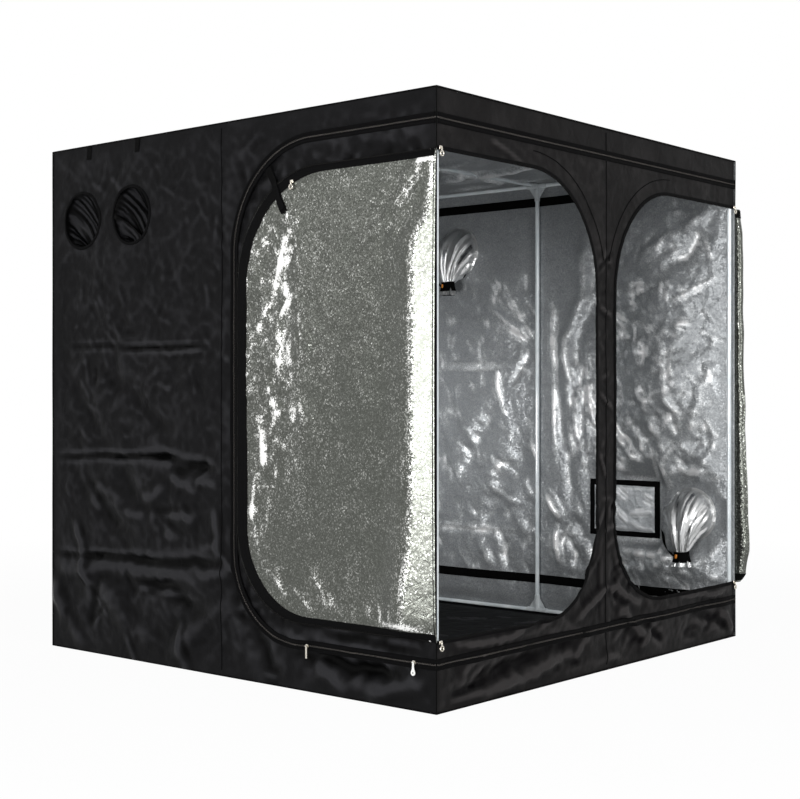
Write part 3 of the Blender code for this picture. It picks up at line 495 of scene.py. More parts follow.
def fold(u, v, strokes):
    """The sum of straight folds (u0, v0, u1, v1, half width, height, ledge share), each fading at its ends."""
    total = 0.0
    for u0, v0, u1, v1, wide, high, ledge in strokes:
        run_u, run_v = u1 - u0, v1 - v0
        length = math.hypot(run_u, run_v)
        run_u, run_v = run_u / length, run_v / length
        along = (u - u0) * run_u + (v - v0) * run_v
        if not -wide < along < length + wide:
            continue
        off = ((v - v0) * run_u - (u - u0) * run_v) / wide
        if abs(off) > 4:
            continue
        # No fold in cloth runs dead straight or keeps its depth
        off += 0.9 * noise.noise(Vector((along * 5, u0 * 9, v0 * 5))) + 0.25 * noise.noise(Vector((along * 19, u0, v0)))
        ends = rise(along, -wide, length * 0.25) * (1 - rise(along, length * 0.7, length + wide))
        ends *= 1 + 0.7 * noise.noise(Vector((along * 8, v0 * 9, u0 * 5)))
        bell = math.exp(-off * off)
        total += high * ends * ((1 - ledge) * bell + ledge * bell * off * 2.2)
    return total


def scatter(seed, count, low, high, slope, spread, length, wide, depth):
    """Short folds at random places in a box of cloth, most of them near one slope in degrees."""
    dice = random.Random(seed)
    strokes = []
    for number in range(count):
        u, v = dice.uniform(low[0], high[0]), dice.uniform(low[1], high[1])
        turn = math.radians(slope + dice.gauss(0, spread))
        reach = length * dice.uniform(0.5, 1.4)
        size = dice.uniform(0.6, 1.4)
        strokes.append((u, v, u + reach * math.cos(turn), v + reach * math.sin(turn), wide * size,
                        dice.choice((-1, 1, 1)) * depth * size, 0.3))
    return strokes


def crumple(u, v, seed, scale):
    """Sharp little ridges between soft hollows, from 0 to about 1, as in film that has been folded away."""
    shift = Vector((seed * 7.3, seed * 3.1, seed * 1.7))
    point = Vector((u, v, 0)) * scale + shift
    bent = point + 0.35 * Vector((noise.noise(point + Vector((5, 0, 0))), noise.noise(point + Vector((0, 9, 0))), 0))
    total = 0.0
    strength = 0.6
    for octave in range(3):
        total += strength * (1 - abs(noise.noise(bent)) * 2.2)
        bent = bent * 2.1 + Vector((3.7, 1.9, 0.5))
        strength *= 0.5
    return total


def swell(u, v, seed, scale):
    """A slow billow, from about -1 to 1."""
    return noise.noise(Vector((u, v, 0)) * scale + Vector((seed * 2.9, seed * 5.3, 0.4))) * 1.6


def edges_held(u, v, low, high, reach):
    """0 on the sheet's border, where seams hold it, and 1 away from it. Low and high are its borders along v."""
    return rise(min(u + HALF, HALF - u, v - low, high - v), 0.0, reach)


def clear_of_poles(near, value):
    """Cloth can't sink into a pole that stands close behind it. Near is the distance along the cloth to the pole."""
    return max(value, -0.0040 - 0.14 * rise(near, 0.032, 0.100))


def clear_wall(u, v, value):
    """Every wall has poles at its four edges and one up its middle."""
    return clear_of_poles(min(abs(u), HALF - abs(u), v, TALL - v), value)


# Outlines, as distances that are negative inside


def round_hole(middle, radius):
    return lambda u, v: math.hypot(u - middle[0], v - middle[1]) - radius


def box_hole(middle_u, middle_v, half_u, half_v):
    def distance(u, v):
        across, up = abs(u - middle_u) - half_u, abs(v - middle_v) - half_v
        return max(across, up) if max(across, up) < 0 else math.hypot(max(across, 0), max(up, 0))
    return distance


def d_shape(across, height, width):
    """A door's D outline. Across is from the hinge side."""
    if height > DOOR_HIGH - DOOR_TOP_RADIUS and across > width - DOOR_TOP_RADIUS:
        return math.hypot(across - width + DOOR_TOP_RADIUS, height - DOOR_HIGH + DOOR_TOP_RADIUS) - DOOR_TOP_RADIUS
    if height < DOOR_LOW + DOOR_LOW_RADIUS and across > width - DOOR_LOW_RADIUS:
        return math.hypot(across - width + DOOR_LOW_RADIUS, height - DOOR_LOW - DOOR_LOW_RADIUS) - DOOR_LOW_RADIUS
    return max(across - width, height - DOOR_HIGH, DOOR_LOW - height)


# Folds of each wall. Strokes are (u, v) to (u, v), half width, height, ledge share


LEFT_STROKES = [
    (0.98, 0.385, 0.30, 0.392, 0.015, -0.008, 0.30),
    (0.62, 0.388, -0.04, 0.396, 0.024, -0.012, 0.25),
    (0.98, 0.345, 0.40, 0.340, 0.032, 0.008, 0.10),
    (0.50, 0.340, 0.05, 0.330, 0.028, 0.008, 0.10),
    (0.98, 0.774, 0.50, 0.780, 0.012, -0.006, 0.30),
    (0.70, 0.782, 0.20, 0.790, 0.011, -0.006, 0.30),
    (0.42, 0.786, 0.02, 0.752, 0.020, -0.012, 0.25),
    (0.28, 0.745, 0.10, 0.730, 0.026, -0.010, 0.20),
    (0.90, 1.214, 0.52, 1.206, 0.010, -0.005, 0.30),
    (0.60, 1.200, 0.02, 1.196, 0.009, -0.006, 0.30),
    (0.30, 1.180, 0.08, 1.188, 0.012, 0.004, 0.30),
    (0.66, 1.16, 0.22, 0.82, 0.055, -0.006, 0.30),
    (0.90, 1.12, 0.62, 0.82, 0.045, -0.005, 0.30),
    (0.90, 0.76, 0.48, 0.43, 0.045, -0.007, 0.30),
    (0.60, 0.74, 0.20, 0.50, 0.050, -0.006, 0.30),
    (0.84, 0.36, 0.34, 0.06, 0.045, 0.012, 0.20),
    (0.98, 0.28, 0.80, 0.02, 0.035, 0.010, 0.20),
    (0.56, 0.33, 0.02, 0.22, 0.040, -0.012, 0.20),
    (0.30, 0.04, -0.02, 0.26, 0.040, 0.010, 0.20),
    (0.50, 0.30, 0.16, 0.26, 0.018, 0.006, 0.30),
    (-0.06, 0.36, -0.30, 0.03, 0.040, -0.014, 0.15),
    (-0.12, 0.50, -0.22, 0.24, 0.026, -0.010, 0.30),
    (-0.30, 0.22, -0.62, 0.02, 0.030, 0.010, 0.20),
    (-0.38, 0.135, -0.88, 0.085, 0.034, -0.024, 0.10),
    (-0.50, 0.205, -0.99, 0.195, 0.020, -0.010, 0.20),
    (-0.70, 0.03, -0.98, 0.12, 0.030, 0.010, 0.20),
]
LEFT_STROKES += scatter(1, 46, (0.02, 0.85), (0.90, 1.90), 235, 40, 0.09, 0.010, 0.0015)
LEFT_STROKES += scatter(2, 26, (0.02, 0.05), (0.85, 0.75), 215, 40, 0.16, 0.020, 0.0045)


def left_relief(u, v):
    held = edges_held(u, v, 0.0, TALL, 0.10)
    packed = fold(u, v, LEFT_STROKES) * rise(u, -1.0, -0.9) * (1 - rise(v, 1.93, 1.99)) * 1.7
    small = (crumple(u, v, 1, 6.0) - 0.4) * 0.0052 * held
    fine = (crumple(u, v, 2, 15.0) - 0.4) * 0.0014 * held
    total = packed + small + fine + swell(u, v, 3, 2.1) * 0.006 * held
    # Under the folded flap it can only give way inwards
    under_flap = rise(-u, 0.02, 0.12) * rise(v, 0.18, 0.24) * (1 - rise(v, 1.80, 1.88))
    inwards = 0.003 + 0.011 * max(crumple(u, v, 7, 4.5), 0.0) + 0.003 * max(crumple(u, v, 10, 14.0), 0.0)
    return clear_wall(u, v, total * (1 - under_flap) - under_flap * inwards * held)


RIGHT_STROKES = [
    # Seen from inside: the long valley beside the middle pole, and the folds that meet on it
    (0.08, 0.80, 0.36, 0.27, 0.060, 0.022, 0.10),
    (0.36, 1.02, 0.52, 0.52, 0.055, -0.016, 0.10),
    (0.20, 1.02, 0.42, 0.62, 0.030, 0.012, 0.20),
    (0.02, 1.24, 0.24, 1.58, 0.014, -0.008, 0.40),
    (0.02, 1.24, 0.32, 1.44, 0.012, 0.007, 0.40),
    (0.02, 1.24, 0.20, 1.33, 0.010, -0.006, 0.40),
    (0.03, 1.22, 0.15, 1.05, 0.016, 0.008, 0.30),
    (0.28, 1.58, 0.14, 1.38, 0.020, -0.007, 0.30),
    (0.34, 1.30, 0.30, 1.02, 0.018, 0.008, 0.30),
    (0.24, 1.18, 0.20, 0.96, 0.016, -0.008, 0.30),
    (0.56, 1.12, 0.44, 0.84, 0.016, 0.006, 0.30),
    (0.46, 0.92, 0.30, 0.70, 0.024, -0.009, 0.20),
    (0.99, 1.150, 0.02, 1.146, 0.010, 0.003, 0.80),
    (0.99, 0.370, 0.05, 0.372, 0.012, 0.005, 0.80),
    (-0.05, 0.374, -0.98, 0.378, 0.012, 0.005, 0.80),
    (0.30, 0.60, 0.10, 0.50, 0.028, -0.012, 0.20),
    (0.34, 0.36, 0.26, 0.20, 0.026, -0.012, 0.20),
    (0.22, 0.40, 0.16, 0.18, 0.022, 0.010, 0.20),
    (0.14, 0.46, 0.04, 0.36, 0.026, -0.010, 0.20),
    # Right of the middle pole: a broad smooth face beside it, turned from the darker cloth by a long fold
    (-0.30, 1.74, -0.17, 0.96, 0.050, -0.020, 0.60),
    (-0.08, 1.60, -0.10, 0.60, 0.016, -0.007, 0.40),
    (-0.12, 1.10, -0.20, 0.44, 0.026, 0.010, 0.20),
    (-0.20, 1.20, -0.24, 0.70, 0.020, -0.008, 0.30),
    (-0.06, 0.56, -0.12, 0.44, 0.026, -0.020, 0.20),
    (-0.10, 0.40, -0.14, 0.22, 0.024, -0.018, 0.20),
    (-0.18, 0.46, -0.30, 0.34, 0.030, 0.012, 0.20),
    # Behind the right door
    (-0.92, 1.79, -0.55, 1.60, 0.034, -0.018, 0.35),
    (-0.90, 1.70, -0.60, 1.46, 0.036, 0.014, 0.20),
    (-0.94, 1.52, -0.74, 1.40, 0.010, -0.008, 0.60),
    (-0.56, 1.10, -0.74, 0.72, 0.030, -0.014, 0.30),
    (-0.34, 0.96, -0.60, 0.66, 0.024, -0.012, 0.50),
    (-0.44, 1.30, -0.50, 0.98, 0.040, 0.012, 0.10),
    (-0.96, 1.20, -0.80, 0.80, 0.030, -0.012, 0.30),
    (-0.94, 0.80, -0.82, 0.64, 0.026, -0.010, 0.30),
    (-0.40, 0.28, -0.86, 0.36, 0.036, 0.010, 0.20),
]
RIGHT_STROKES += scatter(3, 190, (0.04, 0.22), (0.80, 1.60), 248, 24, 0.10, 0.010, 0.0038)
RIGHT_STROKES += scatter(4, 34, (-0.32, 0.25), (-0.16, 1.30), 262, 16, 0.20, 0.013, 0.0050)
RIGHT_STROKES += scatter(5, 90, (-0.95, 0.20), (-0.30, 1.75), 235, 45, 0.12, 0.010, 0.0060)


def right_relief(u, v):
    held = edges_held(u, v, 0.0, TALL, 0.09)
    port = min(math.hypot(u - y, v - z) for y, z in RIGHT_PORTS)
    calm = rise(port, PORT_RADIUS, PORT_RADIUS + 0.10) * rise(box_hole(*WINDOW)(u, v), 0.03, 0.10)
    # The cloth is drawn inwards behind the front corner, so it turns its face to the doors there
    corner = rise(u, -1.0, -0.72) * (1 - rise(u, -0.72, -0.36)) * rise(v, 0.10, 0.40) * (1 - rise(v, 1.30, 1.86))
    drawn = -0.074 * corner * (0.85 + 0.3 * swell(u, v, 8, 3.0)) * rise(port, 0.0, 0.3)
    # The cloth behind the right door is crushed, and hangs smoother further in
    crushed = (0.26 + 0.74 * rise(-u, 0.20, 0.36)) * (0.7 + 0.5 * rise(1.7 - v, 0.0, 0.6))
    small = -(crumple(u, v, 4, 8.5) - 0.4) * 0.0095
    fine = -(crumple(u, v, 5, 19.0) - 0.4) * 0.0050
    slack = (-0.010 + swell(u, v, 6, 1.7) * 0.016) * rise(abs(u), 0.0, 0.34)
    total = (fold(u, v, RIGHT_STROKES) + drawn + (small + fine) * crushed + slack) * held * calm
    # The window's cover lifts until it leans 30 degrees off the wall above it, and the cloth leaves it that room
    room = 0.002 + 0.5 * max(v - 0.650, 0) + 0.8 * max(abs(u - WINDOW[0]) - 0.178, 0) + 2 * max(0.60 - v, 0)
    return clear_wall(u, v, max(total, -room))


FRONT_STROKES = [
    (-0.97, 0.02, -0.12, 0.150, 0.036, -0.018, 0.15),
    (-0.80, 0.01, -0.20, 0.075, 0.030, 0.010, 0.20),
    (-0.94, 0.205, -0.42, 0.185, 0.014, 0.008, 0.30),
    (-0.60, 0.19, -0.10, 0.34, 0.016, 0.010, 0.30),
    (-0.46, 0.205, -0.02, 0.42, 0.014, -0.008, 0.30),
    (-0.20, 0.20, 0.04, 0.31, 0.020, 0.010, 0.30),
    (-0.10, 0.46, 0.00, 0.60, 0.012, 0.005, 0.30),
    (0.02, 0.30, 0.26, 0.22, 0.020, 0.009, 0.20),
    (0.08, 0.22, 0.30, 0.05, 0.022, 0.010, 0.20),
    (0.26, 0.16, 0.40, 0.05, 0.018, -0.010, 0.20),
    (0.34, 0.14, 0.24, 0.04, 0.016, 0.008, 0.20),
    (0.50, 0.205, 0.96, 0.200, 0.014, 0.008, 0.30),
    (0.62, 0.135, 0.94, 0.06, 0.026, -0.012, 0.20),
    (0.86, 0.13, 0.98, 0.02, 0.020, 0.009, 0.20),
    (-0.05, 1.02, 0.05, 0.96, 0.008, 0.004, 0.40),
    (-0.05, 0.80, 0.00, 0.70, 0.008, 0.004, 0.40),
    (-0.05, 1.34, 0.04, 1.30, 0.009, 0.004, 0.40),
    (-0.06, 1.46, 0.05, 1.54, 0.008, -0.003, 0.40),
    (0.03, 0.62, 0.00, 0.50, 0.009, 0.004, 0.40),
    (-0.72, 1.86, -0.52, 1.80, 0.010, 0.004, 0.30),
]
FRONT_STROKES += scatter(6, 26, (-0.16, 0.18), (0.16, 0.60), 60, 40, 0.09, 0.012, 0.0026)
FRONT_STROKES += scatter(7, 20, (-0.95, 0.03), (0.90, 0.13), 20, 25, 0.14, 0.014, 0.0030)
FRONT_STROKES += scatter(8, 22, (-0.06, 0.60), (0.05, 1.60), 140, 45, 0.05, 0.008, 0.0016)


def front_relief(u, v):
    held = edges_held(u, v, 0.0, TALL, 0.05)
    low = 1 - rise(v, 0.20, 0.60)
    small = (crumple(u, v, 11, 8.0) - 0.4) * (0.0016 + 0.0036 * low)
    fine = (crumple(u, v, 12, 24.0) - 0.4) * 0.0007
    slack = swell(u, v, 13, 3.0) * (0.0020 + 0.008 * low)
    total = (fold(u, v, FRONT_STROKES) * 1.6 + small + fine + slack) * held
    # The valance above the doors is double and lies flatter
    return clear_wall(u, v, total * (1 - 0.85 * rise(v, 1.86, 1.90)) - 0.002)


PACKING_CREASES = (0.40, 0.79, 1.21)


def back_relief(u, v):
    """The back wall has its packing creases and a light crumple."""
    crease = sum(math.exp(-((v - height) / 0.010) ** 2) for height in PACKING_CREASES) * 0.003
    small = (crumple(u, v, 21, 6.5) - 0.4) * 0.004
    fine = (crumple(u, v, 22, 19.0) - 0.4) * 0.0014
    total = small + fine - crease + swell(u, v, 23, 2.0) * 0.010
    return clear_wall(u, v, total * edges_held(u, v, 0.0, TALL, 0.09))


ROOF_STROKES = [
    (0.52, 0.26, 0.38, -0.50, 0.030, -0.024, 0.40),
    (0.58, 0.34, 0.66, -0.10, 0.026, 0.016, 0.40),
    (0.80, 0.40, 0.74, -0.30, 0.024, -0.014, 0.40),
    (0.30, 0.60, 0.10, -0.40, 0.034, -0.018, 0.30),
    (0.86, -0.20, 0.50, -0.80, 0.028, 0.014, 0.30),
    (-0.60, 0.80, -0.40, -0.60, 0.036, -0.018, 0.30),
]


def roof_relief(u, v):
    held = edges_held(u, v, -HALF, HALF, 0.10)
    small = (crumple(u, v, 31, 5.0) - 0.4) * 0.005
    sag = -0.016 * held + swell(u, v, 32, 1.8) * 0.010
    total = clear_of_poles(min(abs(v), HALF - abs(u), HALF - abs(v)), (small + sag + fold(u, v, ROOF_STROKES)) * held)
    # The ceiling pole's connectors stand a little higher than the pole
    connector = (1 - rise(abs(v), 0.030, 0.100)) * (1 - rise(HALF - abs(u), 0.15, 0.25))
    return total * (1 - connector)


def floor_relief(u, v):
    return -(crumple(u, v, 35, 6.0) * 0.0008) * edges_held(u, v, -HALF, HALF, 0.05)


def build_sheet(name, half, low, high, pitch, place, relief, finishes, node_name, holes=()):
    """One side of the tent, from -half to half along u and from low to high along v, with its openings."""
    sheet = grid(name, (-half, low), (half, high), pitch)
    for hole in holes:
        cut_out(sheet, hole, pitch)
    lay(sheet, place, relief, finishes)
    settle(sheet, "root", "outer_cloth", node_name)


def build_cube():
    """The four walls, the roof and the floor. The front and the back butt against the side walls."""
    gap = 0.003
    narrow = HALF - 0.0015
    walls = [("left", HALF, CREASED_PITCH, on_left, left_relief, OUTER,
              [round_hole(port, PORT_RADIUS) for port in LEFT_PORTS]),
             ("right", HALF, CREASED_PITCH, on_right, right_relief, OUTER,
              [round_hole(port, PORT_RADIUS) for port in RIGHT_PORTS] + [box_hole(*WINDOW)]),
             ("front", narrow, CREASED_PITCH, on_front, front_relief, LIT_FRONT_OXFORD,
              [lambda u, v: d_shape(HALF - abs(u), v, OPENING_WIDTH)]),
             ("back", narrow, PLAIN_PITCH, on_back, back_relief, OUTER, [])]
    for side, half, pitch, place, relief, outside, holes in walls:
        build_sheet(f"wall_{side}_cloth", half, gap, TALL - gap, pitch, place, relief, (outside, LIT_PALER_LINING),
                    f"wall_{side}", holes)
    build_sheet("roof_cloth", HALF, -HALF, HALF, PLAIN_PITCH, on_roof, roof_relief, (OUTER, LIT_PALER_LINING), "roof")
    build_sheet("floor_cloth", HALF, -HALF, HALF, FLOOR_PITCH, on_floor, floor_relief, (OUTER, OUTER), "floor_panel")


# The door flaps, folded back on the side walls. Across runs from the hinge axis, height is Z


FLAP_STROKES = [
    # A fan of folds from the corner at the top, and the bulge where the cloth is caught there
    (0.02, 1.8, 0.36, 1.46, 0.026, 0.0065, 0.3),
    (0.02, 1.775, 0.2, 1.6, 0.014, 0.0050, 0.3),
    (0.06, 1.7, 0.22, 1.47, 0.02, 0.0037, 0.3),
    (0.16, 1.74, 0.34, 1.58, 0.016, 0.0025, 0.3),
    (0.008, 1.785, 0.085, 1.765, 0.015, 0.02, 0),
    (0.24, 1.5, 0.34, 1.2, 0.03, 0.0025, 0.2),
    # The upright fold that the far part falls back from
    (0.6, 1.74, 0.58, 0.6, 0.045, 0.012, 0.1),
    (0.63, 1.66, 0.68, 1.56, 0.014, 0.0033, 0.3),
    (0.655, 1.6, 0.72, 1.4, 0.009, 0.004, 0.3),
    (0.635, 1.55, 0.69, 1.42, 0.008, 0.0033, 0.3),
    (0.72, 1.42, 0.73, 1.34, 0.007, 0.0033, 0.3),
    (0.685, 1.44, 0.665, 1.35, 0.0075, 0.0036, 0.3),
    (0.7, 1.44, 0.655, 1.33, 0.006, 0.0029, 0.3),
    (0.805, 1.29, 0.7, 1.37, 0.0065, 0.0034, 0.3),
    (0.635, 1.38, 0.69, 1.28, 0.0075, 0.004, 0.4),
    (0.66, 1.36, 0.74, 1.1, 0.03, 0.0096, 0.35),
    (0.69, 1.28, 0.7, 1.05, 0.015, 0.0048, 0.3),
    (0.79, 1.28, 0.81, 1.22, 0.007, 0.0029, 0.3),
    (0.66, 1.22, 0.65, 1.1, 0.008, 0.0029, 0.3),
    (0.76, 1.06, 0.7, 0.92, 0.009, 0.0036, 0.3),
    (0.63, 1.04, 0.64, 0.9, 0.008, 0.0029, 0.3),
    (0.7, 0.98, 0.76, 0.86, 0.008, 0.0036, 0.3),
    (0.8, 0.92, 0.78, 0.74, 0.012, 0.0048, 0.3),
    (0.72, 0.84, 0.76, 0.66, 0.009, -0.0033, 0.3),
    (0.82, 0.74, 0.84, 0.56, 0.014, 0.0056, 0.3),
    (0.76, 0.66, 0.78, 0.52, 0.011, 0.0028, 0.3),
    # Short folds from the bottom edge
    (0.86, 0.66, 0.8, 0.44, 0.02, 0.004, 0.3),
    (0.74, 0.4, 0.66, 0.3, 0.014, 0.004, 0.3),
    (0.8, 0.4, 0.64, 0.42, 0.02, 0.003, 0.3),
    (0.56, 0.44, 0.44, 0.27, 0.015, 0.004, 0.3),
    (0.64, 0.36, 0.52, 0.26, 0.01, 0.003, 0.3),
    (0.46, 0.36, 0.42, 0.24, 0.009, 0.0022, 0.3),
    (0.36, 0.32, 0.35, 0.24, 0.008, 0.002, 0.3),
    (0.29, 0.36, 0.275, 0.24, 0.008, 0.0025, 0.2),
    (0.235, 0.34, 0.225, 0.24, 0.007, -0.002, 0.2),
    (0.18, 0.36, 0.175, 0.24, 0.007, 0.002, 0.2),
    (0.4, 0.66, 0.46, 0.36, 0.026, 0.003, 0.2),
    (0.46, 1.3, 0.42, 0.6, 0.05, -0.006, 0.1),
]


# The big fold from top to bottom: level on the flap, how far from the hinge its crest is, and how high it stands
RIDGE_SHARES = ((0.00, 0.117, 0.050), (0.08, 0.112, 0.048), (0.20, 0.090, 0.038), (0.30, 0.083, 0.035),
                (0.77, 0.083, 0.035), (0.81, 0.078, 0.033), (0.88, 0.036, 0.014), (0.94, 0.023, 0.0086),
                (1.00, 0.016, 0.005))


def ridge(height):
    """How far from the hinge the big fold's crest is, and how high it stands, at a height on the flap."""
    level = (height - DOOR_LOW) / (DOOR_HIGH - DOOR_LOW)
    for (low, reach, high), (following, next_reach, next_high) in zip(RIDGE_SHARES, RIDGE_SHARES[1:]):
        if level <= following:
            share = rise(level, low, following)
            return reach + (next_reach - reach) * share, high + (next_high - high) * share
    return RIDGE_SHARES[-1][1:]


def flap_relief(across, height):
    """How far the folded flap stands off its wall."""
    reach, high = ridge(height)
    big = 0.0
    # The crest is rounded off over 20 mm
    for step in (-0.010, -0.005, 0.0, 0.005, 0.010):
        at = across + step * rise(across, 0.010, 0.040)
        if at < reach:
            big += 0.2 * high * max((at - 0.004) / (reach - 0.004), 0.0)
        else:
            big += 0.2 * high * math.exp(-((at - reach) / 0.10) ** 2)
    inside = -d_shape(across, height, FLAP_WIDTH)
    calm = rise(inside, 0.0, 0.07)
    slope = rise(across, reach - 0.02, reach + 0.05)
    low = rise(height, DOOR_LOW, DOOR_LOW + 0.05) * 0.4 + 0.6
    small = (crumple(across, height, 41, 9.0) - 0.4) * 0.0026 * (0.35 + 0.65 * slope)
    crushed = rise(across, 0.52, 0.66) * rise(height, 0.55, 0.75)
    extra = (crumple(across, height, 42, 15.0) - 0.4) * 0.0036 * crushed
    slack = 0.004 + swell(across, height, 43, 2.6) * 0.004 * slope
    near = rise(inside, -0.01, 0.04) if across > 0.03 else 1.0
    return max(big * low * near + (fold(across, height, FLAP_STROKES) + small + extra + slack) * calm, 0.0)


def flap_place(sign):
    """From (across, height, out) to the place beside the side wall."""
    def place(across, height, out):
        return Vector((sign * (HINGE.x + 0.006 + out), HINGE.y + across, height))
    return place


def flap_front_edge(height):
    """Where the flap's cloth begins: it is pulled back a little from the corner between its ends."""
    level = (height - DOOR_LOW) / (DOOR_HIGH - DOOR_LOW)
    return 0.005 + 0.006 * math.sin(math.pi * min(max(level, 0), 1)) ** 0.6


def build_flap(side, sign):
    made = grid(f"door_flap_{side}_cloth", (0.0, DOOR_LOW - FLAP_PITCH),
                (FLAP_CLOTH + FLAP_PITCH, DOOR_HIGH + FLAP_PITCH), FLAP_PITCH)
    cut_out(made, lambda u, v: -d_shape(u, v, FLAP_CLOTH), FLAP_PITCH)
    for vertex in made.data.vertices:
        first = flap_front_edge(vertex.co.y)
        vertex.co.x = first + vertex.co.x * (1 - first / FLAP_CLOTH)
    lay(made, flap_place(sign), lambda u, v: flap_relief(u, v) + SKIN, (FILM, OUTER))
    # The film is pulled tight from the hinge to the crest of the big fold
    pulled = []
    for vertex in made.data.vertices:
        reach = ridge(vertex.co.z)[0]
        pulled.append(1 - rise(vertex.co.y - HINGE.y, reach - 0.022, reach + 0.004))
    keep_value(made, "pulled", pulled)
    settle(made, f"{side}_door", "silver_film", f"door_flap_{side}")


# Strips that follow a cloth: bindings, zips, seams


def resample(points, pitch, closed=False):
    """Points at an even pitch along a path in (u, v)."""
    path = [Vector(point) for point in points]
    if closed:
        path.append(path[0])
    lengths = [0.0]
    for first, second in zip(path, path[1:]):
        lengths.append(lengths[-1] + (second - first).length)
    count = max(round(lengths[-1] / pitch), 2)
    made = []
    index = 0
    for step in range(count + (0 if closed else 1)):
        reach = lengths[-1] * step / count
        while index < len(path) - 2 and lengths[index + 1] < reach:
            index += 1
        share = (reach - lengths[index]) / max(lengths[index + 1] - lengths[index], 1e-9)
        made.append(path[index].lerp(path[index + 1], min(max(share, 0), 1)))
    return made


def arc(middle, radius, first, last, steps=24):
    return [(middle[0] + radius * math.cos(math.radians(first + (last - first) * i / steps)),
             middle[1] + radius * math.sin(math.radians(first + (last - first) * i / steps))) for i in range(steps + 1)]


def side_steps(points, closed):
    """For each point of a path, the unit step across it, to the left of the way it runs."""
    made = []
    count = len(points)
    for i, point in enumerate(points):
        before = points[i - 1] if (i or closed) else point
        after = points[(i + 1) % count] if (i < count - 1 or closed) else point
        run = (after - before).normalized()
        made.append(Vector((-run.y, run.x)))
    return made


def strip(name, points, profile, place, finish, closed=False):
    """A ribbon along a path, its section given as (sideways, out) points that close on themselves."""
    vertices = []
    for point, aside in zip(points, side_steps(points, closed)):
        for sideways, out in profile:
            at = point + aside * sideways
            vertices.append(place(at.x, at.y, out))
    return skin(name, vertices, len(profile), finish, closed, 35)


def band(width, thickness, base=0.0):
    half = width / 2
    return [(-half, base), (half, base), (half, base + thickness), (-half, base + thickness)]


def door_path(width, hinge_side, inset=0.0):
    """A D's edge from the hinge side at the bottom, round to the hinge side at the top, in (across, height)."""
    side = width - inset
    low, high = DOOR_LOW + inset, DOOR_HIGH - inset
    low_radius, top_radius = DOOR_LOW_RADIUS - inset, DOOR_TOP_RADIUS - inset
    path = [(hinge_side, low)]
    path += arc((side - low_radius, low + low_radius), low_radius, 270, 360)
    path += arc((side - top_radius, high - top_radius), top_radius, 0, 90)
    return path + [(hinge_side, high)]


def teeth(name, points, place, finish, closed=False, size=(0.0022, 0.0055, 0.0024), pitch=0.0042):
    """Zip teeth of a size (thick, wide, tall): one tapered block repeated along a path, left and right in turn."""
    marks = resample(points, pitch, closed)
    thick, wide, tall = size
    block = [(-1, -1, 0), (1, -1, 0), (1, 1, 0), (-1, 1, 0), (-0.6, -0.8, 1), (0.6, -0.8, 1), (0.6, 0.8, 1),
             (-0.6, 0.8, 1)]
    corners = []
    for number, (mark, aside) in enumerate(zip(marks, side_steps(marks, closed))):
        run = Vector((aside.y, -aside.x))
        shift = aside * (wide * (0.18 if number % 2 else -0.18))
        for along, across, up in block:
            at = mark + run * (along * thick / 2) + aside * (across * wide / 2) + shift
            corners.append(place(at.x, at.y, up * tall))
    return blocks(name, corners, finish)


def ribbon(name, first, second, place, thickness, finish):
    """A flat band between two paths with as many points each."""
    columns = 4
    vertices = []
    for a, b in zip(first, second):
        for layer in (0, 1):
            for column in range(columns + 1):
                share = column / columns
                at = a.lerp(b, share if layer == 0 else 1 - share)
                round_off = 0.0 if 0 < column < columns else -0.0004 * layer
                vertices.append(place(at.x, at.y, layer * thickness + round_off))
    return skin(name, vertices, 2 * (columns + 1), finish)


def build_flap_trim(side, sign):
    """The black binding from the flap's edge to its film, and the zip teeth on the edge."""
    on_flap = over(flap_place(sign), flap_relief, SKIN)
    paths = door_path(FLAP_WIDTH - 0.012, 0.012), door_path(FILM_WIDTH, 0.012, FILM_INSET)
    edges = [resample(path, PATH_PITCH) for path in paths]
    # The shorter edge says how many points both get
    count = min(len(edge) for edge in edges)
    edges = [resample(edge, sum((b - a).length for a, b in zip(edge, edge[1:])) / count) for edge in edges]
    count = min(len(edge) for edge in edges)
    binding = ribbon(f"flap_binding_{side}", edges[0][:count], edges[1][:count], on_flap, 0.0009, HEM)
    settle(binding, f"{side}_door", "webbing")
    coil = teeth(f"flap_zip_teeth_{side}", door_path(FLAP_WIDTH - 0.005, 0.03), on_flap, DARK_COIL)
    settle(coil, f"{side}_door", "zip_tape")


# The panel zip runs over three walls, unrolled flat: u is the way round from the middle of the front


def unrolled_relief(u, v):
    if abs(u) <= HALF:
        return front_relief(u, v)
    if u < 0:
        return left_relief(-HALF + (-u - HALF), v)
    return min(right_relief(-HALF + (u - HALF), v), 0.004)


def unrolled(u, v, out):
    """The place of a point of the unrolled zip. It rides straight over the corner, where out is shared."""
    past = abs(u) - HALF
    relief = max(unrolled_relief(u, v), -0.004) if abs(past) > 0.03 else 0.0
    relief *= rise(abs(past), 0.0, 0.06)
    sign = -1 if u < 0 else 1
    if past < -0.004:
        return Vector((u, -HALF - out - relief, v))
    if past < 0.004:
        return Vector((sign * (HALF + out * 0.7), -HALF - out * 0.7, v))
    return Vector((sign * (HALF + out + relief), -HALF + past, v))


def zip_path():
    reach = 2 * HALF + ZIP_END
    low, high = ZIP_LOW_RADIUS, ZIP_TOP_RADIUS
    path = [(-HALF, ZIP_LOW), (0, ZIP_LOW), (HALF, ZIP_LOW)]
    path += arc((reach - low, ZIP_LOW + low), low, 270, 360)
    path += arc((reach - high, ZIP_TOP - high), high, 0, 90)
    path += [(HALF, ZIP_TOP), (0, ZIP_TOP), (-HALF, ZIP_TOP)]
    path += arc((high - reach, ZIP_TOP - high), high, 90, 180)
    path += arc((low - reach, ZIP_LOW + low), low, 180, 270)
    return path


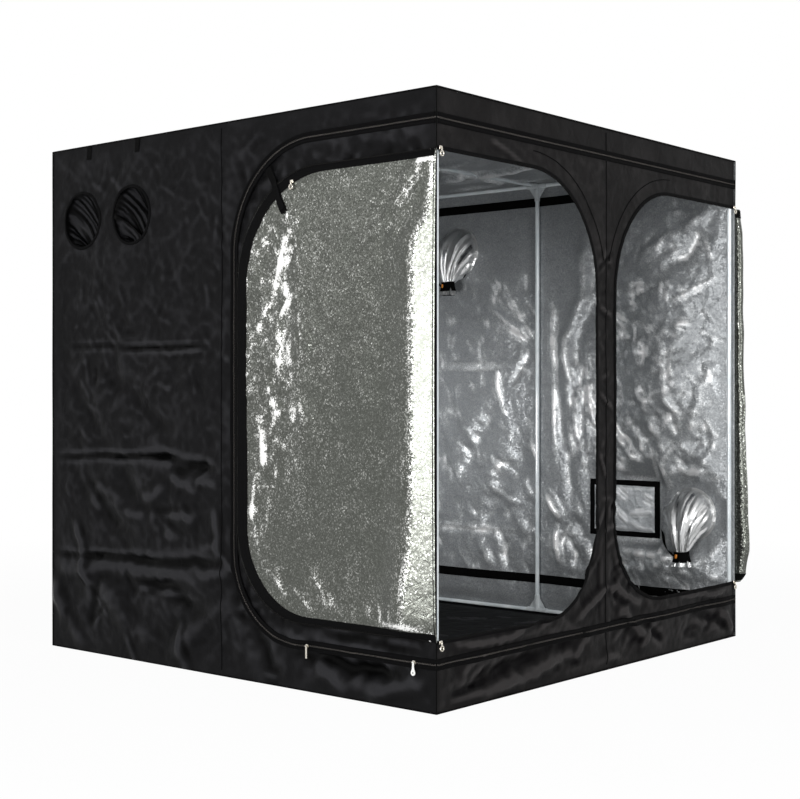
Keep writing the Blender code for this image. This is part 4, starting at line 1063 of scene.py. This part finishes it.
def build_panel_zip():
    points = resample(zip_path(), PATH_PITCH, True)
    tape = strip("panel_zip_tape", points, band(0.024, 0.0010, 0.0002), unrolled, HEM, True)
    settle(tape, "root", "zip_tape", "front_panel_zip")
    lip = [(-0.0045, 0), (0.0045, 0), (0.0035, 0.0022), (0, 0.0030), (-0.0035, 0.0022)]
    for name, offset in (("outer", 0.0140), ("inner", -0.0140)):
        edge = [point + aside * offset for point, aside in zip(points, side_steps(points, True))]
        settle(strip(f"panel_zip_lip_{name}", edge, lip, unrolled, HEM, True), "root", "webbing")
    coil = teeth("panel_zip_coil", zip_path(), lambda u, v, out: unrolled(u, v, out + 0.0010), COIL, True,
                 (0.0030, 0.0044, 0.0020), 0.0050)
    settle(coil, "root", "zip_tape")


def build_door_edges():
    """Binding and zip teeth round both door openings in the front wall."""
    section = [(-0.011, -0.0005), (0.002, -0.0022), (0.002, 0.0014), (-0.004, 0.0022), (-0.011, 0.0010)]
    for side, sign in SIDES:
        place = lambda u, v, out, sign=sign: over(on_front, front_relief)(sign * (HALF - u), v, out)
        hem = strip(f"door_hem_{side}", resample(door_path(OPENING_WIDTH, 0.004), PATH_PITCH), section, place, HEM)
        settle(hem, "root", "webbing")
        row = teeth(f"door_zip_teeth_{side}", door_path(OPENING_WIDTH - 0.003, 0.02), place, DARK_COIL,
                    size=(0.0022, 0.0050, 0.0022))
        settle(row, "root", "zip_tape")


def build_seams():
    """A raised row of stitching along each seam."""
    whole = [(0.0, 0.02), (0.0, 1.98)]
    front = over(on_front, front_relief)
    runs = [("left_middle", whole, over(on_left, left_relief)),
            ("front_middle_low", [(0.0, 0.02), (0.0, 0.138)], front),
            ("front_middle", [(0.0, 0.175), (0.0, 1.88)], front),
            ("front_middle_top", [(0.0, 1.918), (0.0, 1.985)], front)]
    for side, sign in SIDES:
        middle = sign * (DOOR_SIDE + DOOR_TOP_RADIUS), DOOR_HIGH - DOOR_TOP_RADIUS
        runs.append((f"front_arc_{side}", arc(middle, 0.460, 90, 90 + sign * 76), front))
    runs += [("right_middle", whole, over(on_right, right_relief)), ("back_middle", whole, over(on_back, back_relief))]
    section = [(-0.00175, 0), (0.00175, 0), (0.000875, 0.0014), (-0.000875, 0.0014)]
    for name, points, place in runs:
        settle(strip(f"seam_{name}", resample(points, 0.012), section, place, HEM), "root", "outer_cloth")


def as_mesh(name, curve, finish):
    """A curve made a mesh piece, selected and active."""
    pick(added(name, curve))
    bpy.ops.object.convert(target="MESH")
    paint(bpy.context.object, finish)
    return bpy.context.object


def build_edge_bindings():
    """Bound seams along the twelve edges of the cloth cube. The front corners' are cut where the flaps hang."""
    low, high = 0.0012, TALL - 0.0012
    corners = [(-HALF, -HALF), (HALF, -HALF), (HALF, HALF), (-HALF, HALF)]
    runs = []
    for number, (x, y) in enumerate(corners):
        following = corners[(number + 1) % 4]
        runs += [(f"top_edge_{number}", (x, y, high), (*following, high)),
                 (f"foot_edge_{number}", (x, y, low), (*following, low))]
        if y > 0:
            runs.append((f"corner_edge_{number}", (x, y, low), (x, y, high)))
        else:
            runs += [(f"corner_edge_{number}_low", (x, y, low), (x, y, DOOR_LOW - 0.004)),
                     (f"corner_edge_{number}_top", (x, y, DOOR_HIGH + 0.004), (x, y, high))]
    steps = 60
    for name, start_at, end_at in runs:
        cord = bpy.data.curves.new(name, "CURVE")
        cord.dimensions = "3D"
        cord.bevel_depth = 0.0026
        cord.bevel_resolution = 2
        cord.use_fill_caps = True
        line = cord.splines.new("POLY")
        line.points.add(steps)
        for step in range(steps + 1):
            at = Vector(start_at).lerp(Vector(end_at), step / steps)
            wander = Vector((swell(at.x + at.z, at.y, 51, 4.0), swell(at.y, at.z + at.x, 52, 4.0), 0)) * 0.0008
            line.points[step].co = (*(at + wander), 1)
        settle(as_mesh(name, cord, OUTER), "root", "outer_cloth")


# The hinge: a narrow strip of cloth that turns round from each side wall to its folded flap


def turn_with_door(piece):
    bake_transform(piece)


def build_hinge():
    """The left door's narrow strip, which turns flat round the corner."""
    vertices = []
    steps = 160
    low, high = DOOR_LOW - 0.004, DOOR_HIGH + 0.004
    wall_y = -HALF + 0.006
    for step in range(steps + 1):
        height = low + (high - low) * step / steps
        across = flap_front_edge(height)
        flap_y = HINGE.y + across + 0.006
        flap_out = 0.004 + flap_relief(across + 0.004, height)
        row = [(0.0012, wall_y), (0.0014, -HALF - 0.0012), (0.0026, -HALF - 0.0034), (0.0052, -HALF - 0.0026),
               (flap_out + 0.0024, flap_y), (flap_out + 0.0010, flap_y),
               (0.0040, -HALF - 0.0012), (0.0028, -HALF - 0.0020), (0.0024, -HALF - 0.0008), (0.0020, wall_y)]
        vertices += [(-HALF - out, y, height) for out, y in row]
    turn_with_door(skin("hinge_strip_left", vertices, 10, HEM))


# How far forward of the wall the right door's cloth bulges at its hinge, by height
ROLL_SHARES = ((0.230, 0.012), (0.262, 0.040), (0.360, 0.060), (0.570, 0.055), (0.900, 0.040), (1.410, 0.028),
               (1.700, 0.022), (1.790, 0.010))


def roll_section(height, lift, thickness):
    """One level of the bulge as a closed outline of (out, y), lifted off the cloth and of a given thickness."""
    forward = np.interp(height, [level for level, reach in ROLL_SHARES], [reach for level, reach in ROLL_SHARES])
    forward += 0.005 * swell(height, 0.0, 9, 9.0) * min(forward / 0.03, 1.0)
    front = -HALF - 0.002
    on_flap = 0.0075 + flap_relief(0.042, height)
    path = [Vector(point) for point in (
        (0.0020, -HALF + 0.006), (0.0008, front), (-0.003, front - 0.42 * forward), (0.000, front - 0.80 * forward),
        (0.010, front - forward), (0.022, front - 0.86 * forward), (0.030, front - 0.50 * forward), (0.031, front),
        (0.028, front + 0.014), (on_flap, HINGE.y + 0.042))]
    ends = [path[0]] + path + [path[-1]]
    outline = []
    for inner in (0, 1):
        ring = []
        for before, point, after in zip(ends, path, ends[2:]):
            run = (after - before).normalized()
            # The outer side of the bulge lies to the right of the way from the wall to the flap
            ring.append(point + Vector((-run.y, run.x)) * -(lift + (0 if inner else thickness)))
        outline += ring[::-1] if inner else ring
    return outline


def build_roll(name, low, high, lift, thickness, finish):
    steps = max(round((high - low) / 0.008), 3)
    vertices = []
    for step in range(steps + 1):
        height = low + (high - low) * step / steps
        vertices += [(HALF + out, y, height) for out, y in roll_section(height, lift, thickness)]
    turn_with_door(skin(name, vertices, 20, finish, angle=60))


# Belts inside the walls


def build_belt(name, height):
    """Webbing 40 mm wide that lies on the inside of all four walls and takes up their folds."""
    walls = [(on_front, front_relief, 1), (on_right, right_relief, 1), (on_back, back_relief, -1),
             (on_left, left_relief, -1)]
    levels = height - 0.02, height, height + 0.02
    thick = 0.0014
    steps = 130
    vertices = []
    for place, relief, way in walls:
        for step in range(steps):
            u = way * (-0.9965 + 1.993 * step / steps)
            sunk = [min(relief(u, v), 0.0005) - SKIN - CLOTH - 0.0006 for v in levels]
            vertices += [place(u, v, out) for v, out in zip(levels, sunk)]
            vertices += [place(u, v, out - thick) for v, out in zip(levels[::-1], sunk[::-1])]
    settle(skin(f"{name}_webbing", vertices, 6, BELT, True), "root", "webbing", name)


# Duct socks: cloth sleeves drawn shut with a webbing tie. Each ring of a sleeve has its depth in the tent, drop,
# radius, tilt in degrees and pleat depth


SOCK_RINGS = [
    (0.0000, 0.0000, 0.1185, 0, 0.0000), (0.0015, 0.0000, 0.1055, 0, 0.0000), (0.0120, 0.0020, 0.1050, 3, 0.0030),
    (0.0292, 0.0100, 0.1010, 9, 0.0085), (0.0464, 0.0260, 0.0925, 21, 0.0130), (0.0593, 0.0460, 0.0820, 35, 0.0150),
    (0.0688, 0.0700, 0.0700, 48, 0.0155), (0.0757, 0.0960, 0.0560, 61, 0.0140), (0.0800, 0.1220, 0.0430, 72, 0.0115),
    (0.0821, 0.1440, 0.0315, 81, 0.0080), (0.0830, 0.1580, 0.0262, 86, 0.0060), (0.0830, 0.1680, 0.0258, 88, 0.0060),
    (0.0834, 0.1800, 0.0300, 90, 0.0080), (0.0843, 0.1970, 0.0370, 90, 0.0115), (0.0847, 0.2140, 0.0425, 90, 0.0140),
]
SOCK_NECK = SOCK_RINGS[11]
SOCK_FACE = LINING_FACE - 0.0006


def sock_point(station, turn, seed):
    depth, drop, radius, tilt, pleat = station
    around = Vector((math.cos(turn) * 1.3, math.sin(turn) * 1.3, seed * 4.1 + drop * 6))
    # Sharp ridges between soft hollows, at uneven steps round the sleeve
    phase = 3.5 * turn + seed + 0.9 * noise.noise(around)
    pleats = 0.75 - 1.7 * abs(math.sin(phase)) + 0.45 * math.cos(12 * turn + 2 * seed + 4 * noise.noise(around * 1.7))
    pleats *= 1 + 1.3 * noise.noise(around * 1.9 + Vector((3, 0, 0)))
    wander = noise.noise(around * 1.1 + Vector((0, 0, depth * 20))) * 1.4 + 0.5 * noise.noise(around * 4.0)
    reach = radius + pleat * pleats * 0.8 + min(radius * 0.20, pleat * 1.9) * wander
    lean = math.radians(tilt)
    up = reach * math.cos(turn)
    return depth + up * math.sin(lean), reach * math.sin(turn), up * math.cos(lean) - drop


def build_sock(name, node_name, inward, middle, seed):
    """The sleeve hangs from its ring on the wall's inner face: silver towards the tent, black in its mouth."""
    sides = 132
    vertices = []
    for station in SOCK_RINGS:
        for number in range(sides):
            deep, across, up = sock_point(station, 2 * math.pi * number / sides, seed)
            vertices.append((inward * (deep - SOCK_FACE), middle[0] + across, middle[1] + up))
    made = from_points(name, vertices, ring_faces(sides, len(SOCK_RINGS), False), SHADED_SOCK_FILM, OUTER)
    made.data.update()
    first = made.data.polygons[2 * sides]
    if first.normal.dot(Vector((0, first.center.y - middle[0], first.center.z - middle[1]))) < 0:
        made.data.flip_normals()
    mark_creases(made)
    thicken(made, 0.0010, 70)
    settle(made, "root", "outer_cloth", node_name)
    build_tie(name, inward, middle, seed)


def build_tie(name, inward, middle, seed):
    """The webbing that is sewn to the wall beside the sleeve and tied round its neck, with its toggle."""
    side = -inward
    sides = 48
    deep, drop, radius, tilt, pleat = SOCK_NECK

    def at_neck(turn, lower, proud):
        point = sock_point((deep, drop + lower, radius + proud, tilt, pleat * 0.4), turn, seed)
        return Vector((inward * (point[0] - SOCK_FACE), middle[0] + point[1], middle[1] + point[2]))

    vertices = []
    for number in range(sides):
        turn = 2 * math.pi * number / sides
        slant = 0.004 * math.cos(turn)
        vertices += [at_neck(turn, lower + slant, proud) for lower, proud in
                     ((-0.018, 0.0050), (-0.018, 0.0070), (0.000, 0.0076), (0.026, 0.0150), (0.026, 0.0130))]
    loop = settle(skin(f"{name}_tie", vertices, 5, BELT, True), "root", "webbing")
    sewn = Vector((inward * (0.0030 - SOCK_FACE), middle[0] + side * 0.136, middle[1] - 0.084))
    end = Vector((inward * (deep + 0.012 - SOCK_FACE), middle[0] + side * 0.030, middle[1] - drop - 0.002))
    thick = Vector((inward * 0.0009, 0, 0))
    vertices = []
    steps = 24
    for step in range(steps + 1):
        share = step / steps
        sag = math.sin(math.pi * share)
        at = sewn.lerp(end, share) + Vector((inward * 0.012 * sag, side * 0.006 * sag, -0.016 * sag))
        across = Vector((0.25 * inward * share, 0.55 * side, 0.80)).normalized()
        across *= 0.0150 + 0.0015 * math.sin(7 * share)
        vertices += [at - across - thick, at + across - thick, at + across + thick, at - across + thick]
    strap = settle(skin(f"{name}_strap", vertices, 4, BELT), "root", "webbing")
    front = Vector((inward * (deep + 0.030 - SOCK_FACE), middle[0] + side * 0.010, middle[1] - drop - 0.004))
    bpy.ops.object.select_all(action="DESELECT")
    bpy.ops.mesh.primitive_cylinder_add(vertices=24, radius=0.0058, depth=0.0170, location=front)
    toggle = bpy.context.object
    toggle.name = f"{name}_toggle"
    round_over(toggle, 0.0022, 3)
    apply_place()
    paint(toggle, TOGGLE)
    smooth(40)
    return [loop, strap, settle(toggle, "root", "connector")]


def round_over(piece, width, segments):
    """Bevels the edges of the active piece."""
    edge = piece.modifiers.new("edge", "BEVEL")
    edge.width = width
    edge.segments = segments
    bpy.ops.object.modifier_apply(modifier="edge")


# Port rims, and small tabs of webbing on the top edge


def build_rims():
    section = [(-0.0100, -0.0010), (0.0015, -0.0026), (0.0022, 0.0004), (0.0008, 0.0022), (-0.0040, 0.0026),
               (-0.0090, 0.0012)]
    for side, place, middles in (("left", over(on_left, left_relief), LEFT_PORTS),
                                 ("right", over(on_right, right_relief), RIGHT_PORTS)):
        for number, middle in enumerate(middles):
            ring = resample(arc(middle, PORT_RADIUS, 0, 360, 96)[:-1], 0.008, True)
            settle(strip(f"port_rim_{side}_{number}", ring, section, place, HEM, True), "root", "webbing")


def build_tabs():
    for number, y in enumerate((0.762, 0.468)):
        tab = strip(f"top_tab_{number}", resample([(y, 1.944), (y, 1.996)], PATH_PITCH), band(0.026, 0.0016, 0.0004),
                    over(on_left, left_relief), BELT)
        settle(tab, "root", "webbing")


# The vent window: insect mesh in a bound frame, and a cover that hangs from its top edge inside


def frame_band(name, half, border, behind, thickness, finish):
    """A bound frame round the window with mitred corners, its back at a distance behind x = 0."""
    y, z = WINDOW[:2]
    inner, outer = ([Vector((y + turn_y * (half[0] + wider), z + turn_z * (half[1] + wider)))
                     for turn_y, turn_z in ((-1, -1), (1, -1), (1, 1), (-1, 1))] for wider in (0.0, border))
    vertices = []
    steps = 16
    for corner in range(4):
        after = (corner + 1) % 4
        for step in range(steps):
            a = outer[corner].lerp(outer[after], step / steps)
            b = inner[corner].lerp(inner[after], step / steps)
            vertices += [(behind - out, *at) for at, out in
                         ((a, 0), (a.lerp(b, 0.12), thickness), (a.lerp(b, 0.88), thickness), (b, 0))]
    return skin(name, vertices, 4, finish, True)


def build_window():
    y, z, half_y, half_z = WINDOW
    behind = LINING_FACE - 0.0010
    border = frame_band("window_mesh_border", (half_y, half_z), 0.020, behind, 0.0010, HEM)
    settle(border, "root", "webbing")
    # The mesh's 1 mm holes are too fine to show, so its threads are drawn 5 mm apart
    pitch = 0.0050
    thread = 0.0006
    reach_y, reach_z = half_y + 0.005, half_z + 0.005
    bars = [(y - half_y + pitch * (column + 0.5), z, thread, reach_z) for column in range(round(2 * half_y / pitch))]
    bars += [(y, z - half_z + pitch * (row + 0.5), reach_y, thread) for row in range(round(2 * half_z / pitch))]
    corners = []
    for at_y, at_z, wide, high in bars:
        for x in (behind - 0.0010, behind - 0.0002):
            corners += [(x, at_y - wide, at_z - high), (x, at_y + wide, at_z - high),
                        (x, at_y + wide, at_z + high), (x, at_y - wide, at_z + high)]
    settle(blocks("window_mesh_threads", corners, MESH), "root", "screen", "window_mesh")


COVER_STROKES = [
    (0.14, 0.09, -0.04, -0.08, 0.012, 0.006, 0.30),
    (0.12, 0.10, 0.02, -0.05, 0.008, -0.004, 0.30),
    (0.08, 0.10, -0.02, 0.03, 0.008, 0.004, 0.30),
    (0.04, 0.10, -0.03, 0.05, 0.007, -0.003, 0.30),
    (-0.02, -0.02, -0.15, -0.01, 0.010, 0.004, 0.30),
    (0.13, 0.00, -0.13, -0.09, 0.012, 0.005, 0.30),
    (-0.10, 0.07, -0.15, 0.05, 0.006, 0.003, 0.30),
    (-0.10, 0.04, -0.15, 0.02, 0.006, -0.003, 0.30),
]


def cover_relief(u, v):
    """The cover bulges a little into the tent between its bound edges and is creased across."""
    y, z, half_y, half_z = WINDOW
    inside = min(half_y + COVER_EDGE - abs(u - y), half_z + COVER_EDGE - abs(v - z))
    creased = fold(u - y, v - z, COVER_STROKES) + (crumple(u, v, 61, 12.0) - 0.4) * 0.0025
    return max(0.005 + creased + 0.004 * swell(u, v, 62, 7.0), 0.0) * rise(inside, 0.0, 0.03)


def build_cover():
    y, z, half_y, half_z = WINDOW
    base = LINING_FACE - 0.0030
    wide, high = half_y + COVER_EDGE, half_z + COVER_EDGE
    cover = grid("window_cover_film", (y - wide, z - high), (y + wide, z + high), COVER_PITCH)
    lay(cover, lambda u, v, out: Vector((base - out, u, v)), cover_relief, (COVER_FILM, OUTER), 0.0008)
    settle(cover, "window_flap", "silver_film", "window_cover")
    border = frame_band("window_cover_border", (half_y - 0.004, half_z - 0.004), 0.029, base + 0.0008, 0.0022, HEM)
    settle(border, "window_flap", "webbing")


# Tie straps that hold the folded flaps


def build_strap(side, sign):
    start_at, along = Vector((0.770, 1.8124)), Vector((0.5, 0.866))
    wall = -0.0030

    def level(u, v):
        """The strap lies on the wall, climbs the flap's edge and goes on over the flap."""
        return wall + (flap_relief(u, v) + 0.0028 - wall) * rise(-d_shape(u, v, FLAP_CLOTH), -0.016, 0.004)

    place = over(flap_place(sign), level)
    path = resample([start_at, start_at - along * 0.190], 0.006)
    strap = strip(f"tie_strap_{side}_webbing", path, band(0.028, 0.0016), place, BELT)
    settle(strap, f"{side}_door", "webbing", f"tie_strap_{side}")
    loose = resample([start_at - along * 0.060, start_at - along * 0.178], 0.006)
    pad = strip(f"tie_strap_{side}_fastener", loose, band(0.025, 0.0018, 0.0018), place, HEM)
    settle(pad, f"{side}_door", "webbing")


# The spill tray


def tray_height(u, v):
    edge = min(TRAY_HALF - abs(u), TRAY_HALF - abs(v))
    lip = 0.0078 * (1 - rise(edge, 0.0004, 0.0060))
    return 0.0040 + lip + (crumple(u, v, 71, 5.0) - 0.4) * 0.0012 * rise(edge, 0.01, 0.08)


def build_tray():
    tray = grid("spill_tray_sheet", (-TRAY_HALF, -TRAY_HALF), (TRAY_HALF, TRAY_HALF), FLOOR_PITCH)
    # The rows next to the border move to the foot of the lip
    for vertex in tray.data.vertices:
        for axis in (0, 1):
            value = vertex.co[axis]
            if abs(abs(value) - TRAY_HALF) > 0.001 and abs(value) > 0.946:
                vertex.co[axis] = math.copysign(TRAY_HALF - 0.006, value)
    lay(tray, lambda u, v, out: Vector((u, v, out)), tray_height, (TRAY, TRAY))
    settle(tray, "root", "tray", "spill_tray")


# Sliders with holed pulls on the door zips


def build_slider(name, at, turn, body):
    """A die-cast slider 14 mm long with a flat holed pull hanging from its bridge."""
    parts = []

    def part(sized, moved, bevel):
        bpy.ops.object.select_all(action="DESELECT")
        bpy.ops.mesh.primitive_cube_add(size=1, location=moved)
        made = bpy.context.object
        made.scale = sized
        apply_place()
        round_over(made, bevel, 2)
        parts.append(made)

    part((0.0045, 0.0150, 0.0115), (0.0022, 0, 0), 0.0018)
    part((0.0030, 0.0090, 0.0032), (0.0060, 0, 0), 0.0012)
    bpy.ops.mesh.primitive_torus_add(location=(0.0075, 0, -0.0190), rotation=(0, math.radians(90), 0),
                                     major_segments=20, minor_segments=8, major_radius=0.0078, minor_radius=0.0024)
    parts.append(bpy.context.object)
    part((0.0030, 0.0060, 0.0120), (0.0072, 0, -0.0060), 0.0010)
    for made in parts:
        made.select_set(True)
    bpy.context.view_layer.objects.active = parts[0]
    bpy.ops.object.join()
    made = bpy.context.object
    made.name = name
    paint(made, METAL)
    made.data.transform(Matrix.Translation(at) @ Matrix.Rotation(math.radians(turn), 4, "Z"))
    pick(made)
    smooth(40)
    settle(made, body, "zip_metal")


def build_drop_pull(node_name, body):
    """The big white pull of the front slider: a drop-shaped plate with a hole, hung by an eye on the bridge."""
    low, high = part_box(node_name)
    eye_radius = (high.x - low.x) / 2
    eye = Vector(((low.x + high.x) / 2, (low.y + high.y) / 2, high.z - eye_radius))
    drop = bpy.data.curves.new("drop", "CURVE")
    drop.dimensions = "2D"
    drop.fill_mode = "BOTH"
    drop.extrude = 0.0008
    drop.bevel_depth = 0.0004
    drop.bevel_resolution = 2
    wide = 0.0086
    belly = 0, wide - (eye.z - low.z)
    outline = arc(belly, wide, 162, 378, 30)
    outline += [(0.0040, -0.020), (0.0030, -0.010), (0.0032, -0.003), (0.0, -0.0016), (-0.0032, -0.003),
                (-0.0030, -0.010), (-0.0040, -0.020)]
    for points in (outline, arc(belly, 0.0030, 0, 360, 20)[:-1]):
        line = drop.splines.new("POLY")
        line.points.add(len(points) - 1)
        for target, at in zip(line.points, points):
            target.co = (*at, 0, 1)
        line.use_cyclic_u = True
    plate = as_mesh(f"{node_name}_drop", drop, PULL_PAINT)
    # The outline was drawn flat, and hangs facing the side
    plate.data.transform(Matrix.Translation(eye) @ Matrix.Rotation(math.radians(-90), 4, "Z")
                         @ Matrix.Rotation(math.radians(90), 4, "X"))
    bpy.ops.object.select_all(action="DESELECT")
    bpy.ops.mesh.primitive_torus_add(location=eye, rotation=(math.radians(90), 0, 0), major_segments=24,
                                     minor_segments=8, major_radius=eye_radius - 0.0006, minor_radius=0.0006)
    bpy.context.object.scale = (1, 1, 5)
    apply_place()
    plate.select_set(True)
    bpy.context.view_layer.objects.active = plate
    bpy.ops.object.join()
    made = bpy.context.object
    paint(made, PULL_PAINT)
    smooth(40)
    settle(made, body, "zip_metal", node_name)


def build_sliders():
    build_drop_pull("pull_tab_front", "front_pull")
    across, height = 0.640, 1.752
    for side, sign in SIDES:
        for level, at_height in (("top", DOOR_HIGH + 0.004), ("low", DOOR_LOW - 0.002)):
            build_slider(f"door_slider_{level}_{side}", Vector((sign * 0.985, -1.0030, at_height)), -90, "root")
        at = flap_place(sign)(across, height, flap_relief(across, height) + 0.0035)
        build_slider(f"flap_slider_{side}", at, 0 if sign > 0 else 180, f"{side}_door")


# The rigid frame keeps its solids and gets its finishes

FRAME_FINISHES = {
    ("corner_upright", "middle_upright", "top_rail", "bottom_rail", "ceiling_pole"): POLE,
    ("foot_", "top_corner", "top_tee"): MOULDING,
    ("zip_slider", "pull_tab"): METAL,
}


def dress_frame():
    for name, piece in NODES.items():
        for begins, finish in FRAME_FINISHES.items():
            if name.startswith(begins):
                for place in piece.material_slots:
                    place.material = finish


# Stage, camera and lamps


def seen_rays(tree):
    """1 for the rays that show the plain background: the camera's, and those mirrored or let through to it."""
    path = node(tree, "ShaderNodeLightPath")
    seen = node(tree, MATH, [(0, path.outputs["Is Camera Ray"]), (1, path.outputs["Is Glossy Ray"])],
                operation="MAXIMUM")
    return node(tree, MATH, [(0, seen), (1, path.outputs["Is Transmission Ray"])], operation="MAXIMUM")


def build_stage():
    """A matt white paper sweep. It keeps the shadow close to the tent and runs out to plain white."""
    bpy.ops.object.select_all(action="DESELECT")
    bpy.ops.mesh.primitive_plane_add(size=60, location=(0, 0, -0.0008))
    floor = bpy.context.object
    floor.name = "studio_floor"
    made, tree, place = start("white studio sweep", 0.9, Specular_IOR_Level=0.1, Base_Color=srgb("#ffffff"))
    away = node(tree, VECTOR, [("Vector", place)], operation="LENGTH").outputs["Value"]
    white = node(tree, "ShaderNodeMapRange", [("Value", away)], From_Min=2.2, From_Max=5.0, To_Min=0.96, To_Max=1.0)
    share = node(tree, MATH, [(0, seen_rays(tree)), (1, white)], operation="MULTIPLY")
    glow = node(tree, "ShaderNodeEmission", Color=srgb("#ffffff"), Strength=1.0)
    mixed = node(tree, "ShaderNodeMixShader", [(0, share), (1, tree.nodes["Principled BSDF"]), (2, glow)])
    tree.links.new(mixed.outputs[0], tree.nodes["Material Output"].inputs["Surface"])
    paint(floor, made)


def build_world():
    world = bpy.context.scene.world or bpy.data.worlds.new("studio")
    bpy.context.scene.world = world
    world.use_nodes = True
    tree = world.node_tree
    tree.nodes.clear()
    room = node(tree, "ShaderNodeBackground", Color=srgb("#f4f6f8"), Strength=0.36)
    white = node(tree, "ShaderNodeBackground", Color=srgb("#ffffff"), Strength=1.0)
    mixed = node(tree, "ShaderNodeMixShader", [(0, seen_rays(tree)), (1, room), (2, white)])
    node(tree, "ShaderNodeOutputWorld", [("Surface", mixed)])


def lamp(name, place, target, wide, high, power):
    data = bpy.data.lights.new(name, "AREA")
    data.shape = "RECTANGLE"
    data.size = wide
    data.size_y = high
    data.energy = power
    made = added(name, data)
    made.location = place
    made.rotation_euler = (Vector(target) - Vector(place)).to_track_quat("-Z", "Y").to_euler()
    return made


def build_camera():
    """The photograph's camera, solved from the tent's corners. The photograph is 800 pixels wide."""
    data = bpy.data.cameras.new("camera")
    data.lens = 66.24
    data.sensor_width = 36.0
    data.clip_end = 200
    data.shift_y = -5.5 / 800
    made = added("camera", data)
    made.location = (-4.64, -3.94, 1.019)
    made.rotation_euler = (math.radians(90), 0, math.radians(-49.65))
    bpy.context.scene.camera = made


# Every sheet of cloth with the size it was cut to, what it is stretched or laid on, and the pieces sewn to it

ALL_TOP_RAILS = ["top_rail_front", "top_rail_right", "top_rail_back", "top_rail_left"]
SHEETS = [
    ("wall_left_cloth", (2.0, 1.994), "stretched", ["top_rail_left"], None, ("seam_left", "port_rim_left", "top_tab")),
    ("wall_right_cloth", (2.0, 1.994), "stretched", ["top_rail_right"], None, ("seam_right", "port_rim_right")),
    ("wall_front_cloth", (2.0, 1.994), "stretched", ["top_rail_front"], 1.2,
     ("seam_front", "door_hem", "door_zip", "door_slider", "panel_zip", "corner_edge_0", "corner_edge_1")),
    ("wall_back_cloth", (2.0, 1.994), "stretched", ["top_rail_back"], None,
     ("seam_back", "corner_edge_2", "corner_edge_3")),
    ("roof_cloth", (2.0, 2.0), "stretched", ALL_TOP_RAILS, None, ("top_edge",)),
    ("floor_cloth", (2.0, 2.0), "laid", [], None, ("foot_edge",)),
    ("window_mesh_threads", (0.320, 0.210), "stretched", ["wall_right"], None, ("window_mesh_border",)),
    ("door_flap_left_cloth", (0.932, 1.570), "folded", ["wall_left"], 1.39,
     ("flap_binding_left", "flap_zip_teeth_left", "flap_slider_left", "tie_strap_left")),
    ("door_flap_right_cloth", (0.932, 1.570), "folded", ["wall_right"], 1.39,
     ("flap_binding_right", "flap_zip_teeth_right", "flap_slider_right", "tie_strap_right")),
]


def declare_sheets():
    for name, size, held, under, area, sewn in SHEETS:
        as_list(under)


def main():
    bpy.context.scene.view_settings.view_transform = "Standard"
    build_camera()
    build_stage()
    build_world()
    # A tall softbox beside the camera, one on each side, and a grow lamp hung in the tent
    lamp("tall softbox", (-5.98, -1.73, 1.1), (-1.04, -0.95, 1.0), 1.6, 2.6, 205)
    lamp("left softbox", (-5.2, 2.6, 2.6), (-1.0, 0.3, 1.0), 1.2, 1.2, 12)
    lamp("front softbox", (-1.8, -5.8, 2.0), (0.3, -1.0, 1.0), 1.4, 1.4, 120)
    inside = lamp("grow lamp", (-0.70, 0.10, 0.80), (1.0, 0.62, 0.86), 0.4, 0.4, 5.0)
    inside.data.spread = math.radians(90)
    inside.visible_camera = False
    build_cube()
    for side, sign in SIDES:
        build_flap(side, sign)
        build_flap_trim(side, sign)
        build_strap(side, sign)
    build_hinge()
    build_roll("hinge_roll_right", DOOR_LOW - 0.002, DOOR_HIGH - 0.004, 0.0, 0.0012, FILM)
    build_roll("hinge_tab_high", DOOR_HIGH - 0.040, DOOR_HIGH - 0.008, 0.0014, 0.0016, BELT)
    build_roll("hinge_tab_low", DOOR_LOW + 0.006, DOOR_LOW + 0.034, 0.0014, 0.0016, BELT)
    build_panel_zip()
    build_door_edges()
    build_seams()
    build_edge_bindings()
    build_belt("belt_top", 1.910)
    build_belt("belt_bottom", 0.160)
    build_sock("duct_sleeve_rear", "duct_sock_rear", 1, LEFT_PORTS[0], 1)
    build_sock("duct_sleeve_fore", "duct_sock_fore", 1, LEFT_PORTS[1], 2)
    build_sock("duct_sleeve_inner", "duct_sock_inner", -1, RIGHT_PORTS[0], 3)
    build_sock("duct_sleeve_low", "duct_sock_low", -1, RIGHT_PORTS[1], 4)
    build_rims()
    build_tabs()
    build_window()
    build_cover()
    build_tray()
    build_sliders()
    declare_sheets()
    dress_frame()


main()
